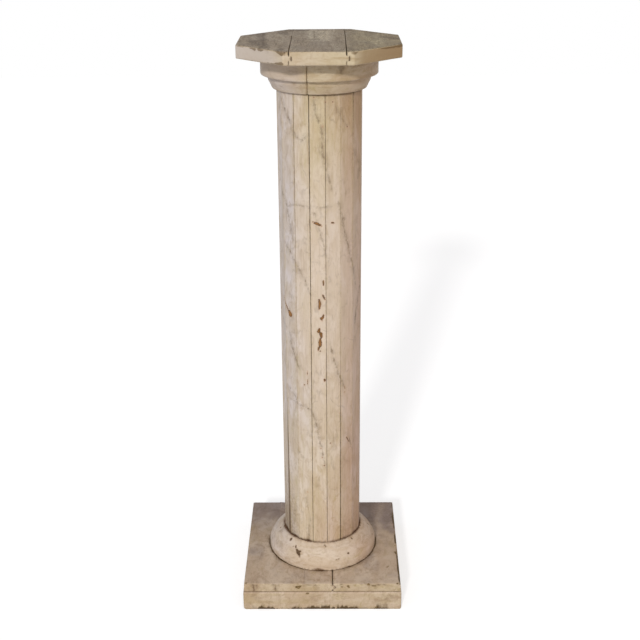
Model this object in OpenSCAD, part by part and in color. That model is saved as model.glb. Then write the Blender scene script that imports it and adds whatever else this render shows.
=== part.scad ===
// Doric column pedestal built up in wood: a square plinth of boards on a slab, a moulded ring,
// a straight shaft of sixteen flat staves, a turned capital and an eight-sided abacus.
// Origin: centre of the underside. +Z is up, -Y is the front, +X is to the right of the front.

/* [Whole column] */
// Height from the floor to the top of the abacus
total_h = 1069; // [800:1:1400]

/* [Plinth slab] */
// Side of the square slab that stands on the floor
slab_w = 308; // [250:1:400]
// Thickness of the slab
slab_t = 39.8; // [20:0.1:60]

/* [Plinth boards] */
// Side of the square that the boards on the slab make together
deck_w = 304; // [250:1:400]
// Thickness of these boards
deck_t = 18; // [12:0.5:30]
// Place of the leftmost joint between two boards, from the axis towards the right
deck_joint_x = -90.7; // [-115:0.1:-80]
// Face width of each full board; the two outer boards take what is left at the sides
deck_board_w = 55.4; // [40:0.1:60]
// Open joint between two boards
deck_gap = 0.8; // [0.3:0.1:2]

/* [Base ring] */
// Outer diameter of the moulded ring round the foot of the shaft
ring_d = 214.6; // [190:0.1:240]
// Height of the ring
ring_h = 46; // [30:1:70]
// Height of its upright side, below the curve
ring_side_h = 13; // [5:1:24]
// Width of the narrow flat on top, next to the shaft
ring_top_w = 2; // [1:0.5:6]
// How far the curve swells out from a straight slope
ring_swell = 4; // [0:0.5:8]
// Clearance between the ring and the corners of the shaft
ring_clear = 0.5; // [0.2:0.1:2]

/* [Shaft] */
// Diameter of the shaft over the corners of its staves
shaft_d = 152; // [120:1:180]
// Number of staves
stave_count = 16; // [10:1:24]
// Thickness of a stave
stave_t = 22; // [12:1:30]
// Gap between two neighbouring staves
stave_gap = 0.3; // [0.1:0.1:1]
// Bearing of the first stave joint, from the front towards the right
stave_turn = 7.1; // [0:0.1:20]
// How far the hand-fitted joints wander from an even spacing, in degrees
stave_wander = 1.9; // [0:0.1:3]

/* [Capital] */
// Diameter of the upright band under the abacus
band_d = 206; // [190:1:225]
// Height of the band
band_h = 33.7; // [20:0.1:50]
// Radius of the band's lower edge
band_edge_r = 1.5; // [0.5:0.5:4]
// Diameter of the neck where it meets the band
neck_top_d = 183; // [172:1:188]
// Diameter of the neck at its lower edge
neck_foot_d = 168; // [160:1:172]
// Height of the neck
neck_h = 24; // [12:0.5:40]
// Place of the open joint between the capital's two blocks, from the axis towards the right
capital_joint_x = -20; // [-60:1:60]
// Width of that open joint
capital_joint_gap = 1; // [0.3:0.1:2]

/* [Abacus] */
// Width of the eight-sided top across its flats
abacus_w = 281; // [240:1:340]
// Thickness of the top
abacus_t = 22.8; // [15:0.1:35]
// Face width of the middle board
abacus_board_w = 94; // [70:1:110]
// Centre of the middle board, from the axis towards the right
abacus_board_x = -1.5; // [-10:0.5:10]
// Shrinkage gap between two boards
abacus_gap = 2; // [0.5:0.1:3]

/* [Tongues and grooves] */
// How far a tongue stands out of its board
tongue_l = 5; // [3:0.5:8]
// Thickness of a tongue, as a share of its board's thickness
tongue_share = 0.34; // [0.25:0.01:0.4]
// Clearance above and below a tongue
tongue_clear = 0.3; // [0.1:0.1:0.6]
// Space left between the end of a tongue and the bottom of its groove
tongue_end_gap = 1.5; // [0.5:0.1:2.5]

/* [Hidden] */
deck_board_count = 5;
deck_top_z = slab_t + deck_t;
abacus_foot_z = total_h - abacus_t;
band_foot_z = abacus_foot_z - band_h;
shaft_top_z = band_foot_z - neck_h;
shaft_r = shaft_d / 2;
stave_inner_r = shaft_r * cos(180 / stave_count) - stave_t;
ring_bore_r = shaft_r + ring_clear;
overlap = 1;
arc_steps = 10;
round_fn = 128;

PAINT = [0.80, 0.73, 0.63];
PAINT_WARM = [0.83, 0.76, 0.66];
BARE_TOP = [0.57, 0.51, 0.45];
PLINTH_PAINT = [0.72, 0.64, 0.55];

DECK_NAMES = [for (i = [1:deck_board_count]) str("plinth_board_", i)];
STAVE_NAMES = [for (i = [1:stave_count]) str("shaft_stave_", i < 10 ? "0" : "", i)];

// Left edge of plinth board i, counted from 0; edge deck_board_count is the right edge of the square
function deck_edge_x(i) =
    i == 0 ? -deck_w / 2
    : i == deck_board_count ? deck_w / 2
    : deck_joint_x + (i - 1) * deck_board_w;

// Bearing of stave joint k: an even spacing with the slow wander of hand fitting
function joint_bearing(k) =
    stave_turn + 360 * k / stave_count + stave_wander * cos(720 * (k + 1.6) / stave_count);

// Point on a circle at a bearing measured from the front towards the right
function at_bearing(r, bearing) = [r * sin(bearing), -r * cos(bearing)];

// Points from a to b along a shallow arc that swells by h at its middle, to the right of the line a-b
function swelling(a, b, h) =
    let (chord = b - a, side = [chord[1], -chord[0]] / norm(chord))
    [for (i = [0:arc_steps]) let (t = i / arc_steps) a + chord * t + side * (4 * h * t * (1 - t))];

// Quarter round of radius r about centre c, from bearing a0 to a1 in the drawing plane
function quarter(c, r, a0, a1) =
    [for (i = [0:arc_steps]) let (a = a0 + (a1 - a0) * i / arc_steps) c + r * [cos(a), sin(a)]];

// A board that runs front to back between x0 and x1: a groove in its left edge, a tongue on its right
module tongued_board(x0, x1, length, t, gap, groove, tongue) {
    left_x = groove ? x0 + gap / 2 : x0;
    right_x = tongue ? x1 - gap / 2 : x1;
    tongue_t = t * tongue_share;
    groove_t = tongue_t + 2 * tongue_clear;
    groove_bottom_x = x0 - gap / 2 + tongue_l + tongue_end_gap;
    difference() {
        union() {
            translate([left_x, -length / 2, 0])
                cube([right_x - left_x, length, t]);
            if (tongue)
                translate([right_x - overlap, -length / 2, (t - tongue_t) / 2])
                    cube([tongue_l + overlap, length, tongue_t]);
        }
        if (groove)
            translate([left_x - overlap, -length / 2 - overlap, (t - groove_t) / 2])
                cube([groove_bottom_x - left_x + overlap, length + 2 * overlap, groove_t]);
    }
}

module plinth_slab() {
    color(PLINTH_PAINT)
        translate([-slab_w / 2, -slab_w / 2, 0])
            cube([slab_w, slab_w, slab_t]);
}

// Board i of the plinth's top layer, counted from 0 at the left
module plinth_board(i) {
    color(PLINTH_PAINT)
        translate([0, 0, slab_t])
            tongued_board(deck_edge_x(i), deck_edge_x(i + 1), deck_w, deck_t, deck_gap,
                          i > 0, i < deck_board_count - 1);
}

// Upright side, a full curve up towards the shaft, and a narrow flat against it
module base_ring() {
    top_r = ring_bore_r + ring_top_w;
    curve_foot = [ring_d / 2, ring_side_h];
    curve_top = [top_r, ring_h];
    color(PAINT_WARM)
        translate([0, 0, deck_top_z])
            rotate_extrude($fn = round_fn)
                polygon(concat(
                    [[ring_bore_r, 0], [ring_d / 2, 0]],
                    swelling(curve_foot, curve_top, ring_swell),
                    [[ring_bore_r, ring_h]]
                ));
}

// Flat-faced stave between joints k and k + 1, from the plinth boards up to the capital
module shaft_stave(k) {
    half_gap = stave_gap / 2;
    a = joint_bearing(k);
    b = joint_bearing(k + 1);
    outer_trim = half_gap / shaft_r * 180 / PI;
    inner_trim = half_gap / stave_inner_r * 180 / PI;
    color(PAINT)
        translate([0, 0, deck_top_z])
            linear_extrude(height = shaft_top_z - deck_top_z)
                polygon([
                    at_bearing(stave_inner_r, a + inner_trim),
                    at_bearing(shaft_r, a + outer_trim),
                    at_bearing(shaft_r, b - outer_trim),
                    at_bearing(stave_inner_r, b - inner_trim)
                ]);
}

// The turned capital before it is parted: a flaring neck with a soft lower edge, and an upright band
module turned_capital() {
    band_r = band_d / 2;
    neck_foot_r = neck_foot_d / 2;
    neck_top_r = neck_top_d / 2;
    soft_r = min(3, neck_h / 6);
    translate([0, 0, shaft_top_z])
        rotate_extrude($fn = round_fn)
            polygon(concat(
                [[0, 0], [neck_foot_r - soft_r, 0]],
                quarter([neck_foot_r - soft_r, soft_r], soft_r, -90, 0),
                [[neck_top_r - soft_r / 2, neck_h - 3 * soft_r], [neck_top_r, neck_h]],
                [[band_r - band_edge_r, neck_h]],
                quarter([band_r - band_edge_r, neck_h + band_edge_r], band_edge_r, -90, 0),
                [[band_r, neck_h + band_h], [0, neck_h + band_h]]
            ));
}

// Everything on one side of the capital's joint: side is -1 for the left and 1 for the right
module capital_half(side) {
    face_x = capital_joint_x + side * capital_joint_gap / 2;
    color(PAINT_WARM)
        intersection() {
            turned_capital();
            translate([side > 0 ? face_x : face_x - band_d, -band_d, shaft_top_z - overlap])
                cube([side > 0 ? 2 * band_d : band_d, 2 * band_d, neck_h + band_h + 2 * overlap]);
        }
}

module capital_left() {
    capital_half(-1);
}

module capital_right() {
    capital_half(1);
}

// Eight-sided outline with two flats square to the front
module octagon(w) {
    intersection() {
        square(w, center = true);
        rotate(45) square(w, center = true);
    }
}

// Abacus board i, counted from 0 at the left, cut to the eight-sided outline
module abacus_board(i) {
    middle_left_x = abacus_board_x - abacus_board_w / 2;
    edges = [-abacus_w / 2 - overlap, middle_left_x, middle_left_x + abacus_board_w, abacus_w / 2 + overlap];
    color(BARE_TOP)
        translate([0, 0, abacus_foot_z])
            intersection() {
                tongued_board(edges[i], edges[i + 1], abacus_w + 2 * overlap, abacus_t, abacus_gap, i > 0, i < 2);
                translate([0, 0, -overlap])
                    linear_extrude(height = abacus_t + 2 * overlap)
                        octagon(abacus_w);
            }
}

module abacus_board_left() {
    abacus_board(0);
}

module abacus_board_middle() {
    abacus_board(1);
}

module abacus_board_right() {
    abacus_board(2);
}

plinth_slab();
for (i = [0:deck_board_count - 1])
    plinth_board(i);
base_ring();
for (i = [0:stave_count - 1])
    shaft_stave(i);
capital_left();
capital_right();
abacus_board_left();
abacus_board_middle();
abacus_board_right();
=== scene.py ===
# %% [markdown]
# # Finishing a doric column pedestal
#
# The real object is a wooden pedestal in the shape of a doric column, about waist high.
# A square plinth of five boards on a slab carries a moulded ring. Sixteen flat staves stand in the
# ring as a shaft, a turned capital of two blocks sits on them, and an eight-sided top closes it.
# Everything but the upper face of the top was painted a stone colour and marbled with a soft brush,
# and then knocked about for years: chips down to the wood, dirty joints, a torn foot.
#
# The measured model is loaded first and never changed. Each piece below stands for one solid of it,
# so every size comes from that model, and this script adds the surface that the solid leaves out.

# %% Load the measured model
import math

import bmesh
import bpy
import numpy as np
from mathutils import Matrix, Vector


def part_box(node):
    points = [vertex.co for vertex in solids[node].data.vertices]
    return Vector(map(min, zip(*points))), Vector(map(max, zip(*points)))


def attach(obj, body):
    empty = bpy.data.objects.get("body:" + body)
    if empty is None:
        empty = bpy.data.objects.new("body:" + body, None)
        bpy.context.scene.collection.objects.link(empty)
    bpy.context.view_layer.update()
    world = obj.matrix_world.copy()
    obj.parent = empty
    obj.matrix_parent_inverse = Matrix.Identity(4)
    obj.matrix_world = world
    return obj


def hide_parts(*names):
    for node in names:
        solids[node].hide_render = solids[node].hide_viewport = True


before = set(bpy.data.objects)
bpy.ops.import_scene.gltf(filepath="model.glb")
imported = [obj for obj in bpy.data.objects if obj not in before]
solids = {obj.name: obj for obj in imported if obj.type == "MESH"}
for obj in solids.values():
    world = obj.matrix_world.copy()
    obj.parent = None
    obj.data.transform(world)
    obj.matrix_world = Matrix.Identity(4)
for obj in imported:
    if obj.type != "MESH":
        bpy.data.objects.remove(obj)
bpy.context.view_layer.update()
scene = bpy.context.scene
MM = 0.001

# %% [markdown]
# ## Unevenness that repeats exactly
#
# Hand work is uneven everywhere: planed faces, brushed paint, broken edges. A random number for each
# corner of a lattice, blended smoothly in between, gives such unevenness. The numbers are mixed from
# the lattice place and a seed, so that every run makes the same column.

# %% Smooth random unevenness
HASH_X, HASH_Y, HASH_Z = np.uint64(73856093), np.uint64(19349663), np.uint64(83492791)
HASH_SEED, HASH_MIX, HASH_MASK = np.uint64(2654435761), np.uint64(0xBF58476D1CE4E5B9), np.uint64(0xFFFFFF)


def lattice_number(ix, iy, iz, seed):
    """A number from 0 to 1 that belongs to one lattice corner."""
    mixed = ix.astype(np.uint64) * HASH_X
    mixed ^= iy.astype(np.uint64) * HASH_Y
    mixed ^= iz.astype(np.uint64) * HASH_Z
    mixed ^= np.uint64(seed + 1) * HASH_SEED
    mixed ^= mixed >> np.uint64(29)
    mixed *= HASH_MIX
    mixed ^= mixed >> np.uint64(32)
    return (mixed & HASH_MASK).astype(float) / float(HASH_MASK)


def unevenness(points, spacing, seed, layers=1):
    """Smooth random numbers from about -1 to 1 at points in mm; spacing is in mm, one number or three."""
    total = np.zeros(len(points))
    reach = np.asarray(spacing, float)
    share, whole = 1.0, 0.0
    for layer in range(layers):
        place = points / reach
        corner = np.floor(place)
        part = place - corner
        part = part * part * (3 - 2 * part)
        corner = corner.astype(np.int64)
        for step in range(8):
            dx, dy, dz = step & 1, (step >> 1) & 1, step >> 2
            weight = (
                (part[:, 0] if dx else 1 - part[:, 0])
                * (part[:, 1] if dy else 1 - part[:, 1])
                * (part[:, 2] if dz else 1 - part[:, 2])
            )
            number = lattice_number(corner[:, 0] + dx, corner[:, 1] + dy, corner[:, 2] + dz, seed + layer)
            total += share * weight * (2 * number - 1)
        whole += share
        share *= 0.5
        reach = reach * 0.5
    return total / whole


def ease(low, high, x):
    """0 below low, 1 above high, and a smooth rise in between."""
    t = np.clip((np.asarray(x, float) - low) / (high - low), 0, 1)
    return t * t * (3 - 2 * t)


sample = unevenness(np.random.default_rng(1).uniform(-500, 500, (2000, 3)), 20, 3, 3)
print("unevenness runs from", round(sample.min(), 2), "to", round(sample.max(), 2))

# %% [markdown]
# ## Marks laid out on a face
#
# A vein, a scratch or a chip is a short line on a face, with a width. On the shaft a mark's place is
# its bearing, in degrees round from the front towards the right, and its height. On a flat face it is
# two distances from the middle. For each point of a piece, the distance to the nearest such line is
# stored with the mesh, and the paint works out the ragged edge of the mark from it, finer than the
# mesh itself.

# %% Distances to lines on a face
FAR = 30.0


def line_reach(u, v, line):
    """Distance of the points (u, v) from a bent line, and how far along it they lie, from 0 to 1."""
    corners = [np.array(c, float) for c in line]
    if len(corners) == 1:
        corners = corners * 2
    lengths = [np.linalg.norm(b - a) for a, b in zip(corners, corners[1:])]
    whole = max(sum(lengths), 1e-6)
    nearest = np.full(len(u), 1e9)
    along = np.zeros(len(u))
    run = 0.0
    for a, b, length in zip(corners, corners[1:], lengths):
        du, dv = u - a[0], v - a[1]
        t = np.clip((du * (b - a)[0] + dv * (b - a)[1]) / max(length * length, 1e-9), 0, 1)
        distance = np.hypot(du - t * (b - a)[0], dv - t * (b - a)[1])
        closer = distance < nearest
        nearest = np.where(closer, distance, nearest)
        along = np.where(closer, (run + t * length) / whole, along)
        run += length
    return nearest, along


def chip_reach(u, v, chips):
    """How deep inside a chip each point lies, in mm. It is negative outside. A chip is (line, radii)."""
    depth = np.full(len(u), -FAR)
    for line, radii in chips:
        distance, along = line_reach(u, v, line)
        radius = np.interp(along, np.linspace(0, 1, len(radii)), radii)
        depth = np.maximum(depth, radius - distance)
    return depth


def stroke_reach(u, v, strokes):
    """Distance to the nearest brush stroke, and its strength there. A stroke is (line, strength)."""
    nearest = np.full(len(u), FAR)
    ink = np.zeros(len(u))
    weight = np.full(len(u), 1e-9)
    for line, strength in strokes:
        distance, along = line_reach(u, v, line)
        nearest = np.minimum(nearest, distance)
        pull = 1 / (1 + distance) ** 4
        fade = ease(0, 0.12, along) * 0.5 + ease(0, 0.15, 1 - along) * 0.5
        ink += pull * strength * fade
        weight += pull
    return nearest, ink / weight


reach, place = line_reach(np.array([0.0, 5.0]), np.array([3.0, 0.0]), [(0, 0), (10, 0)])
print("a point 3 mm off a line lies", reach[0], "mm from it")

# %% [markdown]
# ## Turning lists of points into pieces
#
# Each piece is built from points and four-sided faces, with its mark distances stored beside them.
# Points are in millimetres in the lists, as on a drawing, and in metres in Blender. A mark that a
# piece doesn't have is stored as far away.

# %% Make a piece from points and faces
# The dirt field holds real dirt and also painted shade in creases and under overhangs; tone, pale and olive
# also carry painted light and shade.
FIELDS = {
    "bare": -FAR, "vein": FAR, "vein_ink": 0.0, "seam": FAR, "dirt": 0.0,
    "edge": 0.0, "tone": 0.0, "pale": 0.0, "olive": 0.0,
}
pieces_made = {}


def lay_mesh(name, points, quads, caps=()):
    """A mesh from points in mm, four-sided faces and, for flat ends, faces of many corners."""
    mesh = bpy.data.meshes.new(name)
    corners = np.concatenate([quads.ravel()] + [np.asarray(cap) for cap in caps])
    sizes = np.concatenate([np.full(len(quads), 4), [len(cap) for cap in caps]]).astype(int)
    starts = np.concatenate([[0], np.cumsum(sizes)[:-1]])
    mesh.vertices.add(len(points))
    mesh.vertices.foreach_set("co", (points * MM).astype(np.float32).ravel())
    mesh.loops.add(len(corners))
    mesh.loops.foreach_set("vertex_index", corners.astype(np.int32))
    mesh.polygons.add(len(sizes))
    mesh.polygons.foreach_set("loop_start", starts.astype(np.int32))
    mesh.update(calc_edges=True)
    mesh.validate()
    mesh.shade_smooth()
    return mesh


def finish_piece(name, points, quads, fields, slot, caps=()):
    """The object that stands for the solid of that name, with its stored fields."""
    mesh = lay_mesh(name, points, quads, caps)
    for field, usual in FIELDS.items():
        values = np.zeros(len(points)) + fields.get(field, usual)
        stored = mesh.attributes.new(field, "FLOAT", "POINT")
        stored.data.foreach_set("value", values.astype(np.float32))
    piece = bpy.data.objects.new("finished_" + name, mesh)
    scene.collection.objects.link(piece)
    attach(piece, "root")
    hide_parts(name)
    pieces_made[name] = (piece, slot)
    return piece


print("fields stored on each piece:", ", ".join(FIELDS))

# %% [markdown]
# ## The shaft's joints
#
# The sixteen staves were fitted by hand. Some joints have opened into dark lines, and some are still
# closed and painted over, so that only the change of angle shows. Each joint has its own strength of
# opening at a few heights, from 0 for a closed joint to 1 for a dark gap of about a millimetre, and
# more where dirt has spread beside the gap. Joints that face away from the front repeat the same
# kind of mixture.

# %% Opening of each joint along its height
STAVES = 16
SHAFT_TOP = 988.5
SHAFT_R = 76.0
DEGREE_MM = SHAFT_R * math.pi / 180
JOINT_HEIGHTS = (100, 300, 450, 600, 850, 985)
OPEN_JOINTS = {
    0: (0.60, 0.55, 0.55, 0.50, 0.52, 0.50),
    1: (0.90, 0.80, 0.62, 0.16, 0.20, 0.28),
    2: (0.24, 0.18, 0.22, 0.18, 0.60, 0.90),
    3: (0.30, 0.20, 0.20, 0.30, 0.40, 0.60),
    15: (0.55, 0.60, 0.66, 0.66, 0.72, 0.78),
    14: (0.20, 0.16, 0.28, 0.48, 0.68, 0.66),
    13: (1.90, 1.20, 0.34, 0.20, 0.28, 0.45),
    12: (0.20, 0.30, 0.40, 0.40, 0.50, 0.60),
}
joint_random = np.random.default_rng(16)
for joint in range(4, 12):
    OPEN_JOINTS[joint] = tuple(joint_random.uniform(0.1, 0.9, len(JOINT_HEIGHTS)).round(2))


def joint_opening(joint, heights):
    """How open a joint is at each height: 0 is closed, 1 is a gap of about a millimetre."""
    return np.interp(heights, JOINT_HEIGHTS, OPEN_JOINTS[joint % STAVES])


print("joints with a dark line at mid height:", [j for j in range(STAVES) if joint_opening(j, 450) > 0.5])

# %% [markdown]
# ## The marbling
#
# The painter dragged a soft brush of thinned grey-brown down the shaft, on a slant, and let each
# stroke break up and fade. A stroke is written as a few turning points, each a bearing and a height,
# and its strength. Chips show the orange wood under the paint. The back has strokes and chips of the
# same kind, laid out by seeded chance, because the front gives no sight of it.

# %% Veins and chips of the shaft
VEINS = [
    ([(-64, 980), (-46, 945), (-38, 930), (-33, 915), (-26, 906), (-14, 920)], 0.8),
    ([(-7, 984), (-6, 962), (3, 928), (4, 890), (9, 858), (16, 824)], 0.75),
    ([(25, 802), (34, 750), (45, 700), (57, 642), (63, 620)], 0.75),
    ([(22, 965), (33, 940), (42, 928)], 0.6),
    ([(53, 884), (60, 869), (71, 857)], 0.6),
    ([(-66, 816), (-53, 788), (-49, 766), (-45, 744), (-40, 725)], 0.75),
    ([(-58, 718), (-44, 698), (-31, 674), (-21, 652), (-14, 626)], 0.7),
    ([(-73, 563), (-57, 550)], 0.55),
    ([(-51, 543), (-48, 519), (-40, 497), (-32, 474)], 0.85),
    ([(-55, 429), (-41, 415), (-33, 407)], 0.7),
    ([(-57, 405), (-38, 404), (-14, 393), (-7, 360), (-2, 325), (6, 271)], 0.75),
    ([(13, 529), (18, 501), (25, 470), (36, 434)], 0.65),
    ([(40, 337), (51, 299)], 0.85),
    ([(-9, 783), (-6, 771)], 0.6),
    ([(-2, 754), (1, 740), (8, 703)], 0.55),
    ([(30, 780), (32, 767), (39, 766)], 0.6),
    ([(-7, 435), (-2, 430), (3, 427)], 0.5),
    ([(-36, 301), (-28, 288)], 0.6),
    ([(-27, 215), (-21, 175)], 0.35),
    ([(-19, 160), (-15, 135)], 0.4),
    ([(-58, 782), (-36, 793), (-13, 790), (5, 791), (16, 791)], 0.5),
]
PAINT_LOSSES = [
    ([(-10, 764), (-4, 761), (2, 757)], (1.0, 2.6, 1.2)),
    ([(16, 762), (19, 761)], (1.4, 1.4)),
    ([(4, 654), (4, 646)], (1.3, 1.3)),
    ([(3, 626), (6, 618)], (1.4, 1.2)),
    ([(-2, 617), (-1, 609), (-2, 599)], (1.6, 2.4, 1.4)),
    ([(4, 588), (3, 582), (0, 581), (2, 577)], (1.2, 2.0, 1.2)),
    ([(-2, 560), (-3, 555)], (1.8, 3.0)),
    ([(0, 551), (1, 544)], (3.0, 2.0)),
    ([(-1, 541), (-1, 534), (-1, 527)], (1.2, 3.2, 2.6)),
    ([(-3, 523), (-4, 517)], (1.8, 1.0)),
    ([(-66, 609), (-59, 597), (-52, 583)], (0.8, 1.0, 1.3)),
    ([(-51, 583), (-49, 579)], (3.4, 4.9)),
    ([(-20, 474), (-20, 466)], (0.3, 0.6)),
    ([(-20, 456), (-20, 447)], (0.6, 0.4)),
    ([(5, 458), (5, 455)], (2.0, 1.6)),
    ([(36, 437), (37, 433)], (1.0, 0.8)),
    ([(40, 328), (44, 317)], (1.2, 1.0)),
]
SMALL_LOSSES = [
    (-1, 516), (28, 385), (13, 323), (-1, 313), (1, 293), (-22, 214), (4, 934), (40, 929),
    (8, 976), (18, 975), (-7, 983), (-25, 444), (36, 425), (4, 276),
]
for bearing, height in SMALL_LOSSES:
    PAINT_LOSSES.append(([(bearing, height)], (1.3,)))

BACK_BEARINGS = (80, 280)
back_random = np.random.default_rng(2020)
for stroke in range(22):
    bearing = back_random.uniform(*BACK_BEARINGS)
    height = back_random.uniform(180, 960)
    lean = back_random.choice((-1, 1)) * back_random.uniform(0.1, 0.5)
    line = []
    for turn in range(5):
        line.append((bearing, height))
        bearing += lean * 20 + back_random.uniform(-3, 3)
        height -= back_random.uniform(15, 40)
    VEINS.append((line, back_random.uniform(0.4, 0.8)))
for loss in range(24):
    bearing = back_random.uniform(*BACK_BEARINGS)
    height = back_random.uniform(120, 960)
    size = back_random.uniform(0.8, 1.3) if loss % 3 else back_random.uniform(1.6, 2.8)
    line = [(bearing, height)]
    radii = [size]
    for turn in range(back_random.integers(0, 4)):
        bearing += back_random.uniform(-2.2, 2.2)
        height -= back_random.uniform(2, 6)
        line.append((bearing, height))
        radii.append(size * back_random.uniform(0.5, 1.2))
    PAINT_LOSSES.append((line, tuple(radii)))


def unrolled(lines, radius=SHAFT_R, rise=1.0):
    """The same lines with each bearing turned into mm round a surface of that radius."""
    degree = radius * math.pi / 180
    return [([(bearing * degree, rise * height) for bearing, height in line], last) for line, last in lines]


def round_distance(x, y, radius):
    """Distance in mm round a surface of that radius, from the front towards the right."""
    return np.arctan2(x, -y) * radius


print("veins:", len(VEINS), "chips:", len(PAINT_LOSSES))

# %% [markdown]
# ## The staves
#
# A stave is a long flat piece of softwood, planed on its face and bevelled on its sides. It is built
# as a strip: one outline in plan, repeated every three millimetres up the height, because then the
# joint can open and close along the way, the corners can be worn unevenly, and a chip can sink into
# the face. The four plan corners come straight from the measured solid.

# %% The strip of one stave
STAVE_ROW = 3.0
CORNER_WEAR = 0.7
FACE_STEPS = 16
NEAR_CORNER = np.array([0.0, 0.12, 0.35, 0.8, 1.6])
SIDE_SHARES = (0.0, 0.55, 0.93)
CLOSED_LAP = 0.14
OPEN_SHIFT = 0.78


def stave_plan(name):
    """The four plan corners of a stave: inner and outer at its first joint, outer and inner at its second."""
    mesh = solids[name].data
    co = np.zeros(len(mesh.vertices) * 3, np.float32)
    mesh.vertices.foreach_get("co", co)
    plan = np.unique((co.reshape(-1, 3)[:, :2] / MM).round(2), axis=0)
    middle = plan.mean(axis=0)
    middle_bearing = math.atan2(middle[0], -middle[1])
    radius = np.hypot(plan[:, 0], plan[:, 1])
    turn = np.arctan2(plan[:, 0], -plan[:, 1]) - middle_bearing
    turn = (turn + math.pi) % (2 * math.pi) - math.pi
    outer = radius > radius.mean()
    first, second = turn < 0, turn >= 0
    corners = (first & ~outer, first & outer, second & outer, second & ~outer)
    return [np.array(plan[corner][0], float) for corner in corners]


def stave_edge(joint, rows, start, seed):
    """Opening of a joint at each row, how far the stave's edge stands off it, and its corner's wear."""
    opening = joint_opening(joint, rows)
    ragged = unevenness(np.stack([rows * 0, rows * 0, rows], axis=1) + start, 7.0, seed, 2)
    shift = OPEN_SHIFT * np.minimum(opening, 1.1) * (1 + 0.4 * ragged) - CLOSED_LAP
    worn = CORNER_WEAR * (0.35 + 0.8 * opening + 0.5 * np.clip(ragged, 0, 1))
    return opening, shift, worn


def stave_strip(number, plan, rows):
    """Points row by row, their places across the face (-1 on the sides), and the joint's opening there."""
    inner_a, outer_a, outer_b, inner_b = plan
    width = np.linalg.norm(outer_b - outer_a)
    along = (outer_b - outer_a) / width
    outward = np.array([along[1], -along[0]])
    inside = np.linspace(3.0, width - 3.0, FACE_STEPS)
    across = np.concatenate([NEAR_CORNER, inside, width - NEAR_CORNER[::-1]])
    sides = len(SIDE_SHARES)
    points = np.zeros((len(rows), 2 * sides + len(across), 3))
    opening_a, shift_a, worn_a = stave_edge(number - 1, rows, number * 37.0, 4)
    opening_b, shift_b, worn_b = stave_edge(number, rows, number * 37.0 + 19.0, 5)
    for column, s in enumerate(across):
        gone = np.zeros(len(rows))
        for distance, worn in ((s, worn_a), (width - s, worn_b)):
            worn_share = np.clip(1 - distance / worn, 0, 1)
            gone += worn * (1 - np.sqrt(1 - worn_share ** 2))
        pull = shift_a * (1 - s / width) - shift_b * s / width
        points[:, sides + column, :2] = outer_a + np.outer(s + pull, along) - np.outer(gone, outward)
    for step, share in enumerate(SIDE_SHARES):
        side_a = inner_a + (outer_a - inner_a) * share
        side_b = inner_b + (outer_b - inner_b) * share
        points[:, step, :2] = side_a + np.outer(shift_a, along)
        points[:, -1 - step, :2] = side_b - np.outer(shift_b, along)
    points[:, :, 2] = rows[:, None]
    place = np.concatenate([np.full(sides, -1.0), across, np.full(sides, -1.0)])
    opening = np.where(place < width / 2, opening_a[:, None], opening_b[:, None])
    return points, place, opening, width, outward


print("points across a stave:", 2 * len(SIDE_SHARES) + 2 * len(NEAR_CORNER) + FACE_STEPS)

# %% [markdown]
# ## Weather on the shaft
#
# The paint is rosy and grey on the left and browner on the right, partly as painted light from the
# left and painted shade on the right, and yellowed near the top. Hands have rubbed the middle pale,
# dust and drips have gathered near the foot, and the paint is darkened with dust and painted shade
# just above the ring and under the capital. All of this runs round the shaft and up it, over the
# joints, so that it is worked out from bearing and height.

# %% Weather and marks of the shaft
# Round the front the tones make the shaft rosy on the left, as painted light, and brown on the right, as
# painted shade; behind, they are only a cast of the paint.
TONE_BEARINGS = (-180, -90, -55, -30, -5, 20, 45, 75, 120, 180)
TONES = (0.2, -0.3, -0.6, -0.28, 0.0, 0.2, 0.68, 0.8, 0.35, 0.2)


def shaft_weather(bearing, height, points):
    """Dirt with painted shade, tone with painted light and shade, yellowing and rubbed paleness of the
    shaft's paint.
    """
    # Just above the ring and under the capital the paint is darkened as dust and painted shade.
    foot_grime_and_shade = ease(107.0, 103.5, height) * (0.38 + 0.3 * unevenness(points, 6, 8))
    top_grime_and_shade = ease(984, 988, height) * 0.4 + 0.22 * ease(880, 985, height) * ease(-40, 0, bearing)
    dull = 0.3 * ease(520, 130, height) * ease(-20, -60, bearing) + 0.15 * ease(240, 110, height)
    dull = dull + 0.14 * ease(230, 120, height) * ease(15, 35, bearing)
    drip = ease(0.15, 0.6, unevenness(points, (9, 9, 60), 9, 2)) * ease(190, 104, height) * 0.42
    drip = drip * ease(70, 55, np.abs(bearing))
    tone = np.interp(bearing, TONE_BEARINGS, TONES) - 0.12 * ease(240, 420, height) * ease(900, 760, height)
    tone = tone + 0.2 * ease(900, 985, height) * ease(-30, 20, bearing) + 0.25 * ease(240, 110, height)
    tone = tone + 0.22 * ease(640, 420, height) * ease(-18, -42, bearing)
    tone = tone + 0.27 * unevenness(points, (50, 50, 200), 10, 3)
    clouds = 1 + 0.5 * unevenness(points, (30, 30, 90), 12, 2)
    yellowed = 0.9 * ease(700, 960, height) * ease(-45, 0, bearing) * clouds
    yellowed = yellowed + 0.6 * ease(260, 150, height) * ease(8, 28, bearing) * ease(80, 50, bearing)
    yellowed = yellowed + 0.25 * ease(500, 250, height) * ease(-70, -30, bearing) * ease(40, 0, bearing)
    pale = (0.4 + 0.3 * ease(440, 620, height)) * ease(260, 440, height) * ease(930, 780, height)
    return {
        "dirt": np.clip(foot_grime_and_shade + top_grime_and_shade + drip + dull, 0, 1),
        "tone": tone,
        "olive": np.clip(yellowed, 0, 1),
        "pale": pale * ease(-45, -20, bearing) * ease(85, 50, bearing),
    }


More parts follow.
